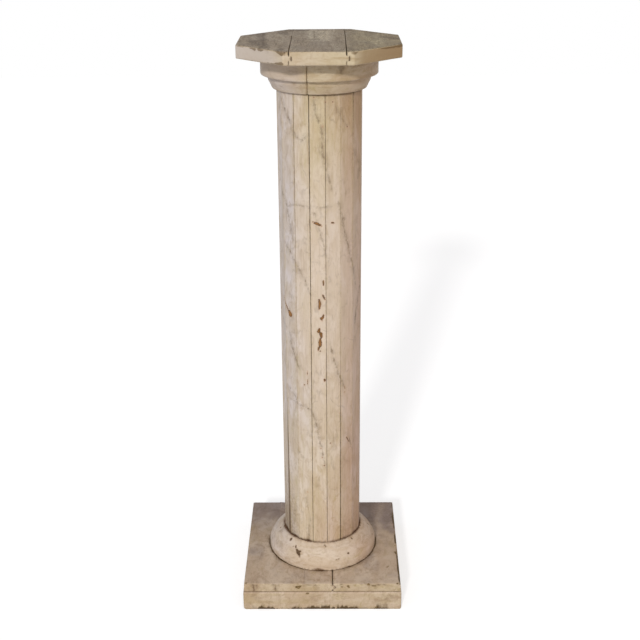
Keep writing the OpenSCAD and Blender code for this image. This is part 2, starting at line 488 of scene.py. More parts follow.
def shaft_marks(bearing, height):
    """Depth inside a chip, distance to a vein and the vein's strength, at points of the shaft."""
    chips = np.full(len(height), -FAR)
    vein, ink = np.full(len(height), FAR), np.zeros(len(height))
    for turn in (-360, 0, 360):
        along = (bearing + turn) * DEGREE_MM
        chips = np.maximum(chips, chip_reach(along, height, unrolled(PAINT_LOSSES)))
        near_vein, near_ink = stroke_reach(along, height, unrolled(VEINS))
        ink = np.where(near_vein < vein, near_ink, ink)
        vein = np.minimum(vein, near_vein)
    return chips, vein, ink


print("tones run from", min(TONES), "to", max(TONES))

# %% [markdown]
# ## Putting the staves together
#
# Each strip gets a slightly uneven plane, its chips are sunk, and the weather and the marks are stored
# on it. Every stave also has a faint cast of its own, as boards painted one by one do.

# %% Build the sixteen staves
STAVE_CASTS = np.random.default_rng(7).uniform(-0.1, 0.1, STAVES)
CHIP_DEPTH = 0.55


def build_stave(number):
    name = "shaft_stave_%02d" % number
    plan = stave_plan(name)
    low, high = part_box(name)
    foot, top = low.z / MM, high.z / MM
    rows = np.concatenate([[foot, foot + 0.5], np.arange(foot + 2, top - 1.5, STAVE_ROW), [top - 0.5, top]])
    strip, place, opening, width, outward = stave_strip(number, plan, rows)
    points = strip.reshape(-1, 3)
    grid = np.arange(len(points)).reshape(len(rows), len(place))
    place, opening = np.tile(place, len(rows)), opening.ravel()
    on_face = place >= 0
    edge_distance = np.minimum(place, width - place)

    middle_x, middle_y = (plan[1] + plan[2]) / 2
    middle = math.degrees(math.atan2(middle_x, -middle_y))
    bearing = np.degrees(np.arctan2(points[:, 0], -points[:, 1])) - middle
    bearing = (bearing + 180) % 360 - 180 + middle
    chips, vein, ink = shaft_marks(bearing, points[:, 2])
    chips = np.where(on_face, chips, -FAR)
    planed = 0.16 * unevenness(points, (26, 26, 130), 6, 2) + 0.05 * unevenness(points, (6, 6, 30), 7, 2)
    push = planed * ease(0, 4, edge_distance) - CHIP_DEPTH * ease(-0.6, 0.8, chips)
    points[:, :2] += outward * (push * on_face)[:, None]

    fields = shaft_weather((bearing + 180) % 360 - 180, points[:, 2], points)
    fields["tone"] = fields["tone"] + STAVE_CASTS[number - 1]
    fields["bare"] = chips
    fields["vein"] = vein
    fields["vein_ink"] = ink
    fields["seam"] = np.where(on_face, edge_distance, 0.0) + (1 - opening) * 3.2
    fields["edge"] = ease(2.0, 0.0, edge_distance) * on_face * (0.3 + 0.7 * opening)
    beside = np.roll(grid, -1, axis=1)
    quads = np.stack([grid[:-1], beside[:-1], beside[1:], grid[1:]], axis=-1).reshape(-1, 4)
    return finish_piece(name, points, quads, fields, "shaft_paint", (grid[0][::-1], grid[-1]))


stave_faces = 0
for number in range(1, STAVES + 1):
    stave_faces += len(build_stave(number).data.polygons)
print("stave faces:", stave_faces)

# %% [markdown]
# ## Boards, ring and blocks
#
# The plinth, the ring, the capital and the top are solid lumps of wood with tongues, grooves and
# curves. A lump is easiest to wear when its whole surface is one even net, so a copy of the measured
# mesh is filled with small cells and skinned again. The skin keeps the flat faces flat, takes the
# sharpness off each corner as years of handling do, and gives fine, even faces to push nicks into.

# %% Skin a solid with an even net
def skin_of(name, cell, fillers=()):
    """Points in mm and four-sided faces of an even net over a solid and the fillers set into it."""
    mesh = solids[name].data.copy()
    rough = bmesh.new()
    rough.from_mesh(mesh)
    bmesh.ops.remove_doubles(rough, verts=rough.verts, dist=0.01 * MM)
    for low, high in fillers:
        size = (np.array(high) - low) * MM
        middle = (np.array(high) + low) * MM / 2
        there = Matrix.Translation(middle) @ Matrix.Diagonal((*size, 1.0))
        bmesh.ops.create_cube(rough, size=1.0, matrix=there)
    rough.to_mesh(mesh)
    rough.free()
    mould = bpy.data.objects.new("mould", mesh)
    scene.collection.objects.link(mould)
    net = mould.modifiers.new("net", "REMESH")
    net.mode = "VOXEL"
    net.voxel_size = cell * MM
    shape = bpy.data.meshes.new_from_object(mould.evaluated_get(bpy.context.evaluated_depsgraph_get()))
    points = np.zeros(len(shape.vertices) * 3, np.float32)
    shape.vertices.foreach_get("co", points)
    corners = np.zeros(len(shape.loops), np.int32)
    shape.loops.foreach_get("vertex_index", corners)
    bpy.data.objects.remove(mould)
    bpy.data.meshes.remove(shape)
    bpy.data.meshes.remove(mesh)
    return points.reshape(-1, 3).astype(float) / MM, corners.reshape(-1, 4)


def outward_directions(points, quads):
    """The direction in which the surface faces at each point."""
    across = np.cross(points[quads[:, 2]] - points[quads[:, 0]], points[quads[:, 3]] - points[quads[:, 1]])
    total = np.zeros_like(points)
    for corner in range(4):
        for axis in range(3):
            total[:, axis] += np.bincount(quads[:, corner], across[:, axis], len(points))
    return total / np.maximum(np.linalg.norm(total, axis=1), 1e-9)[:, None]


def neighbour_mean(points, quads):
    """The mean place of the neighbours of each point."""
    total = np.zeros_like(points)
    count = np.zeros(len(points))
    for corner in range(4):
        a, b = quads[:, corner], quads[:, (corner + 1) % 4]
        for start, end in ((a, b), (b, a)):
            count += np.bincount(start, minlength=len(points))
            for axis in range(3):
                total[:, axis] += np.bincount(start, points[end, axis], len(points))
    return total / count[:, None]


def corner_mask(points, quads, facing, cell, spread=2):
    """1 along outward corners, falling to 0 on flats and in hollows."""
    bulge = -np.sum((neighbour_mean(points, quads) - points) * facing, axis=1) / cell
    mask = ease(0.05, 0.3, bulge)
    for step in range(spread):
        stacked = np.stack([mask, mask, mask], axis=1)
        mask = 0.5 * mask + 0.5 * neighbour_mean(stacked, quads)[:, 0]
    return mask


print("solids to skin:", len(solids) - STAVES)

# %% [markdown]
# ## Wear on the corners
#
# Corners lose wood in small bites, more where boots and trolleys meet them. The bites follow smooth
# unevenness along the corner, and push the net inwards only there.

# %% Wear a skinned solid
NICK_SPACING = 11.0


def pressed(points, facing, depth):
    """The points pressed in by that many mm."""
    return points - facing * depth[:, None]


def worn_skin(name, cell, bite, seed, fillers=(), softness=0.25):
    """Points, faces, facing and corner mask of a worn solid; bite is the deepest nick, in mm."""
    points, quads = skin_of(name, cell, fillers)
    points = (1 - softness) * points + softness * neighbour_mean(points, quads)
    facing = outward_directions(points, quads)
    corner = corner_mask(points, quads, facing, cell)
    nick = ease(0.25, 0.75, unevenness(points, NICK_SPACING, seed, 3))
    soft = 0.12 + 0.12 * unevenness(points, 40.0, seed + 5)
    points = pressed(points, facing, corner * (soft + bite * nick))
    points = pressed(points, facing, -0.12 * unevenness(points, 34.0, seed + 9, 2))
    return points, quads, facing, corner


print("nicks come about every", NICK_SPACING, "mm along a corner")

# %% [markdown]
# ## The slab under the plinth
#
# The slab stands on the floor and takes every kick. Its lower front edge is torn and dirty in long
# runs, and each corner is blunt.

# %% Build the slab
SLAB_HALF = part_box("plinth_slab")[1].x / MM
SLAB_LIP = 39.8
TORN_SINK = 7.6
SIDE_START, BACK_START = 400, 900
TORN_X = (-154, -131, -124, -92, -86, -63, -58, -44, -38, -30, 0, 40, 64, 74, 98, 103, 110, 117, 154)
TORN_SHARE = (0, 0.1, 0.9, 0.85, 0.2, 0.2, 0.75, 0.7, 0.35, 0.8, 1, 1, 0.8, 0.25, 0.2, 0.7, 0.5, 0.15, 0.1)
SLAB_CHIPS = [([(104, 3), (105, 6)], (1.0, 0.6)), ([(-30, 37)], (1.8,)), ([(-27, 38)], (1.6,))]


def build_slab():
    name = "plinth_slab"
    points, quads, facing, corner = worn_skin(name, cell=2.5, bite=1.2, seed=31)
    x, y, z = points.T
    front = facing[:, 1] < -0.5
    side = np.abs(facing[:, 2]) < 0.5
    run = np.where(np.abs(facing[:, 0]) > 0.5, y + SIDE_START * np.sign(x), x + BACK_START * (y > 0))
    torn = ease(-0.1, 0.6, unevenness(np.stack([run, run * 0, z * 0], axis=1), 34.0, 33, 3))
    torn = np.where(front, np.interp(x, TORN_X, TORN_SHARE), torn)
    fringe = 8 + 11 * unevenness(points, (3.4, 3.4, 400), 35, 2)
    taller = 13 + 16 * unevenness(points, (2.6, 2.6, 500), 42, 2)
    low = ease(fringe, -2.0, z) * (0.2 + 0.8 * torn) + 0.75 * ease(taller, 0.0, z) * torn
    spikes = 2.5 + 7.5 * unevenness(points, (4.5, 4.5, 900), 36, 2)
    bite = np.where(side, torn * (4.0 + 0.6 * spikes) - TORN_SINK - z, -FAR)
    points = pressed(points, facing, 0.5 * ease(-1.0, 2.5, bite))

    blunt = np.where(x < 0, 6.0, 4.5)
    over = np.maximum(np.abs(x) - (SLAB_HALF - blunt), 0)
    under = np.maximum(blunt - z, 0)
    beyond = np.maximum(np.hypot(over, under) / blunt, 1)
    points[:, 0] = np.where(over > 0, np.sign(x) * (SLAB_HALF - blunt + over / beyond), x)
    points[:, 2] = np.where((over > 0) & (under > 0), blunt - under / beyond, z)

    depth = np.where(front, chip_reach(x, z, SLAB_CHIPS), -FAR)
    speckle = 0.35 * ease(0.3, 0.8, unevenness(points, 5.0, 40, 3)) * side
    speckle = speckle + 0.35 * ease(95, 112, x) * ease(132, 126, x) * ease(26, 8, z) * front
    dirt = 0.95 * low * side + 0.25 * ease(36, 39.5, z) * side + speckle
    dirt = dirt + 0.3 * ease(0.1, 0.8, unevenness(points, 26, 37, 3))
    fields = {
        "bare": np.maximum(depth, bite),
        "dirt": np.clip(dirt, 0, 1),
        "edge": corner,
        "tone": 0.25 * unevenness(points, (70, 70, 18), 38, 2) + 0.12 * ease(120, 150, np.abs(x)),
        "olive": side * (0.3 + 0.5 * ease(-0.2, 0.5, unevenness(points, (30, 30, 9), 41, 3))),
        "pale": ease(3.0, 1.0, np.abs(x - 138)) * ease(24, 16, z) * front * 0.8,
        "seam": np.where(side, SLAB_LIP - z, FAR) + 1.0 + 1.5 * ease(40, 130, x),
    }
    return finish_piece(name, points, quads, fields, "plinth_paint")


slab = build_slab()
print("slab faces:", len(slab.data.polygons))

# %% [markdown]
# ## The plinth boards
#
# Five tongued boards run from front to back over the slab. The joint right of the middle has opened,
# the next one to the left is a faint line, and the others are nearly lost under paint. Their front
# ends carry a row of small chips along the upper corner. The paint is darker and greyer towards the
# back, as grey dust and painted shade, and in a soft patch at each side, where hands and dust have
# been. Round the foot of the ring it is darkened with dirt and painted shade.

# %% Marks of the plinth boards
DECK_CHIPS_FRONT = [
    ([(-50, 51), (-46, 50), (-42, 53)], (2.4, 3.0, 1.2)),
    ([(24, 49), (24, 47)], (1.9, 1.2)),
    ([(38, 51)], (1.3,)),
    ([(50, 53), (52, 50)], (2.0, 1.5)),
    ([(64, 54)], (1.0,)),
    ([(89, 57), (91, 56)], (1.8, 1.2)),
    ([(97, 53), (103, 53)], (1.0, 0.8)),
]
DECK_CHIPS_TOP = [
    ([(147, -42), (149, -50)], (1.6, 1.2)),
    ([(148, -20)], (1.2,)),
    ([(146, -150)], (2.0,)),
    ([(-148, -148)], (1.6,)),
    ([(90, -151)], (1.6,)),
    ([(128, -96), (131, -92)], (1.0, 0.7)),
]
DECK_HAIRLINES = [
    ([(-133, 57), (-132, 41)], 0.9),
    ([(-127, 57), (-127, 44)], 0.7),
    ([(-92, 57), (-92, 41)], 0.9),
    ([(104, 56), (104, 43)], 0.3),
]
PALE_STREAKS = [
    ([(44, -145), (66, -132), (86, -121)], 0.7),
    ([(60, -147), (92, -137)], 0.4),
    ([(-138, 60), (-120, 84), (-112, 110)], 0.4),
    ([(-108, 98), (-102, 50), (-98, 10)], 0.4),
    ([(129, 142), (121, 100), (112, 62)], 0.5),
    ([(118, 70), (128, 20), (126, -30)], 0.35),
    ([(138, -20), (136, -70), (126, -110)], 0.5),
]
print("chips on the boards:", len(DECK_CHIPS_FRONT) + len(DECK_CHIPS_TOP))

# %% [markdown]
# ## Closing the painted joints
#
# A joint's strength is 0 where paint has filled it and 1 where it stands open. Where it is painted
# over, the boards' skins are brought flush and made to touch, with small fillers behind the ends, and
# where it is open they keep the gap that was measured.

# %% Build the five plinth boards
BOARDS = 5
HALF_GAP = 0.4
SHARP_DEGREES = 48
FLUSH_SINK = 0.05
END_BEVEL = 0.55
BOARD_EDGES = [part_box("plinth_board_1")[0].x / MM]
for number in range(2, BOARDS + 1):
    BOARD_EDGES.append(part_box("plinth_board_%d" % number)[0].x / MM - HALF_GAP)
BOARD_EDGES.append(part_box("plinth_board_5")[1].x / MM)
JOINT_STRENGTH = (0.0, 0.0, 0.25, 1.0, 0.0, 0.0)
END_JOINTS = (0.0, 0.95, 0.3, 1.0, 0.2, 0.0)
DECK_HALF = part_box("plinth_board_1")[1].y / MM
BOARD_TONES = (0.06, 0.08, 0.0, -0.08, -0.1)


def build_plinth_board(number):
    name = "plinth_board_%d" % number
    low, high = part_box(name)
    foot, top = low.z / MM, high.z / MM
    fillers = []
    for edge, inward in ((number - 1, 1), (number, -1)):
        if 0 < edge < BOARDS and JOINT_STRENGTH[edge] < 0.9:
            near, deep = BOARD_EDGES[edge] + HALF_GAP * inward, BOARD_EDGES[edge] + 9 * inward
            for end in (-1, 1):
                ys = sorted((end * DECK_HALF, end * (DECK_HALF - 6)))
                fillers.append(((min(near, deep), ys[0], foot), (max(near, deep), ys[1], top)))
    points, quads, facing, corner = worn_skin(
        name, cell=2.0, bite=0.7, seed=50 + number, fillers=fillers, softness=0.15)
    x, y, z = points.T
    for edge in (number - 1, number):
        if 0 < edge < BOARDS:
            closed = (1 - JOINT_STRENGTH[edge]) * ease(4.5, 2.8, np.abs(x - BOARD_EDGES[edge]))
            flush = closed * ease(top - 4.0, top - 2.5, z)
            ends = closed * ease(DECK_HALF - 4.0, DECK_HALF - 2.5, np.abs(y))
            points[:, 2] += flush * (top - FLUSH_SINK - END_BEVEL * ends - z)
            corner = corner * (1 - closed)
            points[:, 1] += ends * (np.sign(y) * (DECK_HALF - FLUSH_SINK - END_BEVEL * flush) - y)
            touching = closed * ease(2.5, 1.2, np.abs(x - BOARD_EDGES[edge]))
            points[:, 0] += touching * (BOARD_EDGES[edge] - x)
    x, y, z = points.T
    front = facing[:, 1] < -0.5
    up = facing[:, 2] > 0.5
    depth = np.where(front, chip_reach(x, z, DECK_CHIPS_FRONT), -FAR)
    depth = np.maximum(depth, np.where(up, chip_reach(x, y, DECK_CHIPS_TOP), -FAR))
    hair, hair_ink = stroke_reach(x, z, DECK_HAIRLINES)
    streak, streak_ink = stroke_reach(x, y, PALE_STREAKS)
    points = pressed(points, facing, 0.9 * ease(-0.5, 1.2, depth))
    radius = np.hypot(x, y)
    # Round the ring's foot the deck is darkened: a thin line of packed dirt and painted shade, and a wider
    # painted shade.
    deck_ring_grime_and_shade = 0.9 * ease(110.5, 107.5, radius + 1.2 * unevenness(points, 8.0, 61))
    deck_ring_grime_and_shade = deck_ring_grime_and_shade * (0.25 + 0.4 * ease(20, 95, np.abs(x)))
    ring_shade = 0.4 * ease(124, 108, radius + 5 * unevenness(points, 22.0, 64, 2))
    rubbed = ease(DECK_HALF - 6, DECK_HALF - 1, np.abs(x) + 3 * unevenness(points, (8, 20, 8), 67, 2))
    rubbed = rubbed * (1.0 - 0.6 * ease(0, -20, x)) * ease(-0.3, 0.2, unevenness(points, (20, 30, 20), 68, 2))
    dusty = 0.3 * ease(60, 110, x) * ease(40, 120, y) + 0.9 * rubbed
    edge_stain = 0.45 * ease(51, 57, z) * ease(-0.1, 0.6, unevenness(points, (9, 9, 5), 65, 3)) + 0.12
    dirt = (deck_ring_grime_and_shade + ring_shade + dusty) * up + (0.5 * ease(43, 40, z) + edge_stain) * front
    seam = np.full(len(x), np.inf)
    for edge in (number - 1, number):
        opening = np.where(front, END_JOINTS[edge], JOINT_STRENGTH[edge])
        beside = np.abs(x - BOARD_EDGES[edge]) * (1 + 0.7 * front)
        seam = np.minimum(seam, beside + (1 - opening) * 9)
    # Darker and greyer towards the back and in soft patches: grey dust, and painted shade at the back.
    grey_dust_and_shade = 0.8 * ease(-20, 150, y) + 0.2 * ease(-60, -140, x) - 0.2 * ease(-20, -90, y)
    grey_dust_and_shade = grey_dust_and_shade + 0.6 * ease(-0.1, 0.5, unevenness(points, (44, 60, 40), 62, 3))
    grey_dust_and_shade = grey_dust_and_shade + 0.25 * ease(60, 110, x) * ease(40, 100, y)
    tone = BOARD_TONES[number - 1] - grey_dust_and_shade * up + 0.15 * front * ease(-90, -150, x)
    faded = 0.25 * ease(0.2, 0.7, unevenness(points, (40, 60, 40), 63, 3))
    fields = {
        "bare": depth,
        "vein": np.where(front, hair, FAR),
        "vein_ink": np.where(front, hair_ink, 0),
        "dirt": np.clip(dirt, 0, 1),
        "edge": corner * 0.6,
        "tone": np.clip(tone, -1, 1),
        "olive": front * (0.55 + 0.4 * ease(-0.2, 0.5, unevenness(points, (18, 18, 7), 66, 3))),
        "pale": up * (ease(11, 1, streak) * streak_ink + faded),
        "seam": seam,
    }
    board = finish_piece(name, points, quads, fields, "plinth_paint")
    board.data.set_sharp_from_angle(angle=math.radians(SHARP_DEGREES))
    return board


for number in range(1, BOARDS + 1):
    build_plinth_board(number)
print("plinth joints, mm from the axis:", [round(edge, 1) for edge in BOARD_EDGES[1:5]])

# %% [markdown]
# ## The ring round the foot
#
# A turned moulding, smooth and well rounded, darkened with dirt and painted shade where it meets the
# shaft and the plinth, rosier on the left as painted light and browner on the right as painted shade.
# Its marks are few: a cluster of dark pits on the left, some small pits, and a stained chip at the
# front of its foot.

# %% Build the ring
RING_PITS = [
    ([(-47, 99)], (2.5,)),
    ([(-35, 94), (-34, 92)], (1.6, 1.2)),
    ([(-32, 90), (-29, 86), (-27, 83)], (1.6, 3.6, 2.2)),
    ([(-27, 89)], (1.8,)),
    ([(-26, 80)], (1.3,)),
    ([(-38, 92)], (0.7,)),
    ([(31, 84)], (1.9,)),
    ([(45, 101)], (1.6,)),
    ([(3, 101), (5, 99)], (0.9, 0.6)),
    ([(15, 78), (19, 79)], (0.6, 0.5)),
    ([(-5, 62), (-4, 60)], (1.2, 1.0)),
]
RING_R = 96.0
RING_SEAT_R = 107.2
RING_SNUG = 3.1
PIT_RISE = 1.3

back_pits = np.random.default_rng(72)
for pit in range(12):
    bearing = back_pits.uniform(70, 290)
    bearing = bearing if bearing < 180 else bearing - 360
    height = back_pits.uniform(62, 102)
    RING_PITS.append(([(bearing, height)], (back_pits.uniform(0.7, 1.9),)))


def build_ring():
    name = "base_ring"
    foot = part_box(name)[0].z / MM
    points, quads, facing, corner = worn_skin(name, cell=2.0, bite=0.25, seed=71)
    x, y, z = points.T
    radius = np.hypot(x, y)
    seated = ease(61.4, 59.8, z) * ease(103.5, 105.5, radius)
    snug = ease(80.5, 77.5, radius) * ease(95, 98, z) * (RING_SNUG + 0.4 * unevenness(points, 9.0, 76, 2))
    wider = (seated * (RING_SEAT_R - radius) - snug) / radius
    points[:, 0] += x * wider
    points[:, 1] += y * wider
    points[:, 2] += seated * (foot - z)
    x, y, z = points.T
    radius = np.hypot(x, y)
    u = round_distance(x, y, RING_R)
    outside = facing[:, 2] > -0.5
    pits = unrolled(RING_PITS, RING_R, PIT_RISE)
    depth = np.where(outside, chip_reach(u, PIT_RISE * z, pits), -FAR)
    points = pressed(points, facing, 0.9 * ease(-0.6, 1.2, depth))
    ragged = unevenness(points, 7.0, 73, 2)
    # Where the ring meets the shaft and the plinth, and inside it near the shaft, it is darkened with dirt
    # and painted shade.
    ring_inner_grime_and_shade = ease(79.0, 76.0, radius + ragged) * ease(98, 102, z) * (0.4 + 0.25 * ease(30, 70, np.abs(x)))
    ring_foot_grime_and_shade = ease(61.5, 58.0, z + ragged) * (0.3 + 0.45 * ease(20, 95, np.abs(x)))
    mottled = 0.24 * ease(0.0, 0.6, unevenness(points, (26, 26, 14), 77, 3)) + 0.13 * ease(-20, -80, x)
    front_stain = ease(16, 4, np.hypot(u + 7, (z - 60) * 2)) * 0.4
    dirt = ring_inner_grime_and_shade + 0.8 * ring_foot_grime_and_shade + 0.25 * ease(84, 78, radius) + front_stain + mottled
    # Rosier on the left, as painted light, and browner on the right, as painted shade, over an uneven tone.
    tone = 0.3 * unevenness(points, (60, 60, 30), 74, 2) - 0.35 * ease(-30, -80, x) + 0.4 * ease(30, 95, x)
    fields = {
        "bare": depth,
        "dirt": np.clip(dirt, 0, 1),
        "edge": corner * 0.4,
        "tone": tone,
        "pale": 0.3 * ease(0.1, 0.7, unevenness(points, (50, 50, 20), 75, 3)),
    }
    return finish_piece(name, points, quads, fields, "moulding_paint")


ring = build_ring()
print("ring faces:", len(ring.data.polygons))

# %% [markdown]
# ## The capital
#
# One turning, parted by an open joint a little left of the middle, that is a flaring neck under an
# upright band. The band shows faint turning rings, a short split on the right and the joint's dark
# line. It is painted paler and rosier on the left, as painted light, browner on the right and darker
# under the top, as painted shade. The neck has painted shade under the band, and dirt with painted
# shade where it meets the staves.

# %% Build the two halves of the capital
CAPITAL_STROKES = [([(21, 1036), (21, 1024)], 0.45), ([(52, 1021)], 0.9), ([(-30, 1030), (-20, 1029)], 0.25)]
CAPITAL_SEEDS = {"capital_left": 81, "capital_right": 91}
# Across the capital: rosy on the left, as painted light, and brown on the right, as painted shade.
CAPITAL_TONE_X = (-110, -40, 0, 40, 100)
CAPITAL_LIGHT_TONES = (-0.55, -0.3, 0.05, 0.35, 0.6)
BAND_R = 103.0
BAND_FOOT = 1012.5
CAPITAL_JOINT = -20.0
JOINT_CLOSING = 0.42


def build_capital_half(name, seed):
    points, quads, facing, corner = worn_skin(name, cell=2.0, bite=0.35, seed=seed)
    x, y, z = points.T
    radius = np.hypot(x, y)
    u = round_distance(x, y, BAND_R)
    vein, ink = stroke_reach(u, z, unrolled(CAPITAL_STROKES, BAND_R))
    outside = (radius > 70) & (np.abs(x - CAPITAL_JOINT) > 0.2)
    near_joint = ease(3.0, 1.6, np.abs(x - CAPITAL_JOINT))
    points[:, 0] += near_joint * JOINT_CLOSING * np.sign(CAPITAL_JOINT - x)
    x = points[:, 0]
    turned = 0.10 * np.sin(z * 2.1 + 0.4 * np.sin(z * 0.7)) * (radius > 95)
    points = pressed(points, facing, -turned)

    ragged = 0.9 * unevenness(points, 6.0, seed + 2, 2)
    # Painted shade under the band and under the top, and dirt with painted shade at the neck's foot.
    under_band_shade = ease(5.5, 0.5, np.abs(z - BAND_FOOT + 1.0 + ragged)) * (radius < 101)
    neck_foot_grime_and_shade = ease(3.6, 0.4, z - SHAFT_TOP + 0.6 * ragged)
    under_top_shade = ease(1041, 1046, z + ragged) * 0.32 * ease(-70, 10, x)
    stain = 0.2 * ease(0.1, 0.7, unevenness(points, (40, 40, 16), seed + 4, 3)) * ease(-90, -10, x)
    soaked = ease(9, 1, np.hypot((u - 38) / 1.2, (z - 1036) / 1.6) + 4 * ragged)
    stain = stain + 0.3 * soaked * (y < 0) + 0.2 * ease(40, 80, x) * ease(1024, 1040, z)
    tone = 0.2 * unevenness(points, (60, 60, 24), seed + 5, 2)
    faded = 0.25 * ease(0.2, 0.7, unevenness(points, (50, 50, 14), seed + 6, 3))
    # On the left the band is painted paler and less yellowed: painted light.
    left = ease(-10, -60, x)
    fields = {
        "vein": np.where(outside, vein, FAR),
        "vein_ink": np.where(outside, ink, 0),
        "seam": np.abs(x - CAPITAL_JOINT) + 1.4,
        "dirt": np.clip(under_band_shade * 0.12 + 0.3 * neck_foot_grime_and_shade + under_top_shade + stain, 0, 1),
        "edge": corner * 0.5,
        "tone": tone + np.interp(x, CAPITAL_TONE_X, CAPITAL_LIGHT_TONES),
        "olive": 0.75 + 0.25 * unevenness(points, (40, 40, 9), seed + 7, 2) - 0.75 * left,
        "pale": faded + 0.85 * left * ease(1012, 1018, z),
    }
    return finish_piece(name, points, quads, fields, "moulding_paint")


halves = [build_capital_half(name, seed) for name, seed in CAPITAL_SEEDS.items()]
print("capital faces:", sum(len(half.data.polygons) for half in halves))

# %% [markdown]
# ## The eight-sided top
#
# Three tongued boards, planed once and then left bare on top: grey, dry and scratched, while their
# edges are painted like the rest. The boards have shrunk apart, so the tongues show in the gaps.
# A splinter is gone from the upper edge at the right, and the near left corner is bruised.

# %% Marks of the top
TOP_DARK_LINES = [
    ([(-10, 120), (-8, -12)], 0.7),
    ([(-102, 102), (-97, 10), (-92, -87)], 1.0),
    ([(-122, 30), (-118, -20), (-110, -70)], 0.7),
    ([(60, 110), (62, 60)], 0.25),
]
TOP_PALE_LOOPS = [
    ([(70, 60), (84, 20), (90, -20), (98, -60), (105, -84)], 0.6),
    ([(84, 50), (104, 14), (108, -24), (100, -60)], 0.35),
    ([(-19, 112), (-15, 60), (-14, -4)], 0.55),
    ([(-70, 70), (-62, 20), (-66, -40)], 0.3),
    ([(24, -60), (30, -100), (28, -128)], 0.4),
]
TOP_STAINS = [
    ([(-60, 122), (-34, 128)], (17, 13)),
    ([(-68, 100), (-61, 66)], (6, 5)),
    ([(-114, -12), (-100, -48), (-88, -88)], (6, 9, 6)),
    ([(-105, 100), (-98, 20), (-93, -70)], (6, 3, 6)),
    ([(-60, -108), (-66, -128)], (3, 5)),
    ([(-24, 10), (-6, 4)], (5, 4)),
    ([(112, 30), (138, 4)], (6, 5)),
    ([(88, 96), (104, 84)], (4, 5)),
    ([(40, 134), (52, 120)], (5, 3)),
    ([(126, -66), (136, -56)], (3, 3)),
]
TOP_CHIPS = [
    ([(-60, -137), (-54, -140)], (1.2, 0.6)),
    ([(-139, 10), (-139, 4)], (1.2, 0.9)),
]
SIDE_CHIPS = [([(-57, 1045), (-55, 1046)], (1.0, 0.6))]
TOP_BRUISES = [
    ([(-113, 1068), (-106, 1067)], (1.2, 2.4)),
    ([(-99, 1067), (-91, 1068)], (2.7, 1.2)),
    ([(-66, 1067), (-60, 1064)], (1.5, 1.5)),
    ([(118, 1068), (138, 1067)], (1.6, 1.6)),
    ([(-84, 1046), (-72, 1046), (-60, 1049)], (1.4, 2.4, 2.8)),
]
print("stains on the top:", len(TOP_STAINS))

# %% [markdown]
# ## Shrunken boards
#
# The two joints of the top stand open along the front and are filled further back. Each has a small
# slot beside it in the front edge. The upper face carries stains and starry scratches, and the painted
# edges are stained along their corners and bruised in a few places.

# %% Build the three boards of the top
TOP_WEAR_SEEDS = {"abacus_board_left": 101, "abacus_board_middle": 111, "abacus_board_right": 121}
# Side tones of the top: rosy on the left, as painted light, and brown on the right, as painted shade.
SIDE_TONE_X = (-140, -75, -55, 55, 75, 140)
SIDE_LIGHT_TONES = (-0.6, -0.5, -0.1, 0.0, 0.5, 0.6)
middle_low, middle_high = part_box("abacus_board_middle")
TOP_Z = middle_high.z / MM
TOP_MIDDLE = (middle_low.z / MM + TOP_Z) / 2
TOP_HALF = -middle_low.y / MM
TOP_CORNER_X = 58.2
TOP_HALF_GAP = 1.0
TOP_JOINTS = (middle_low.x / MM - TOP_HALF_GAP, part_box("abacus_board_right")[0].x / MM - TOP_HALF_GAP)
JOINTS_FILLED_FROM = (60, 126)
SLOT_ASIDE, SLOT_Z = 4.4, 1057.5


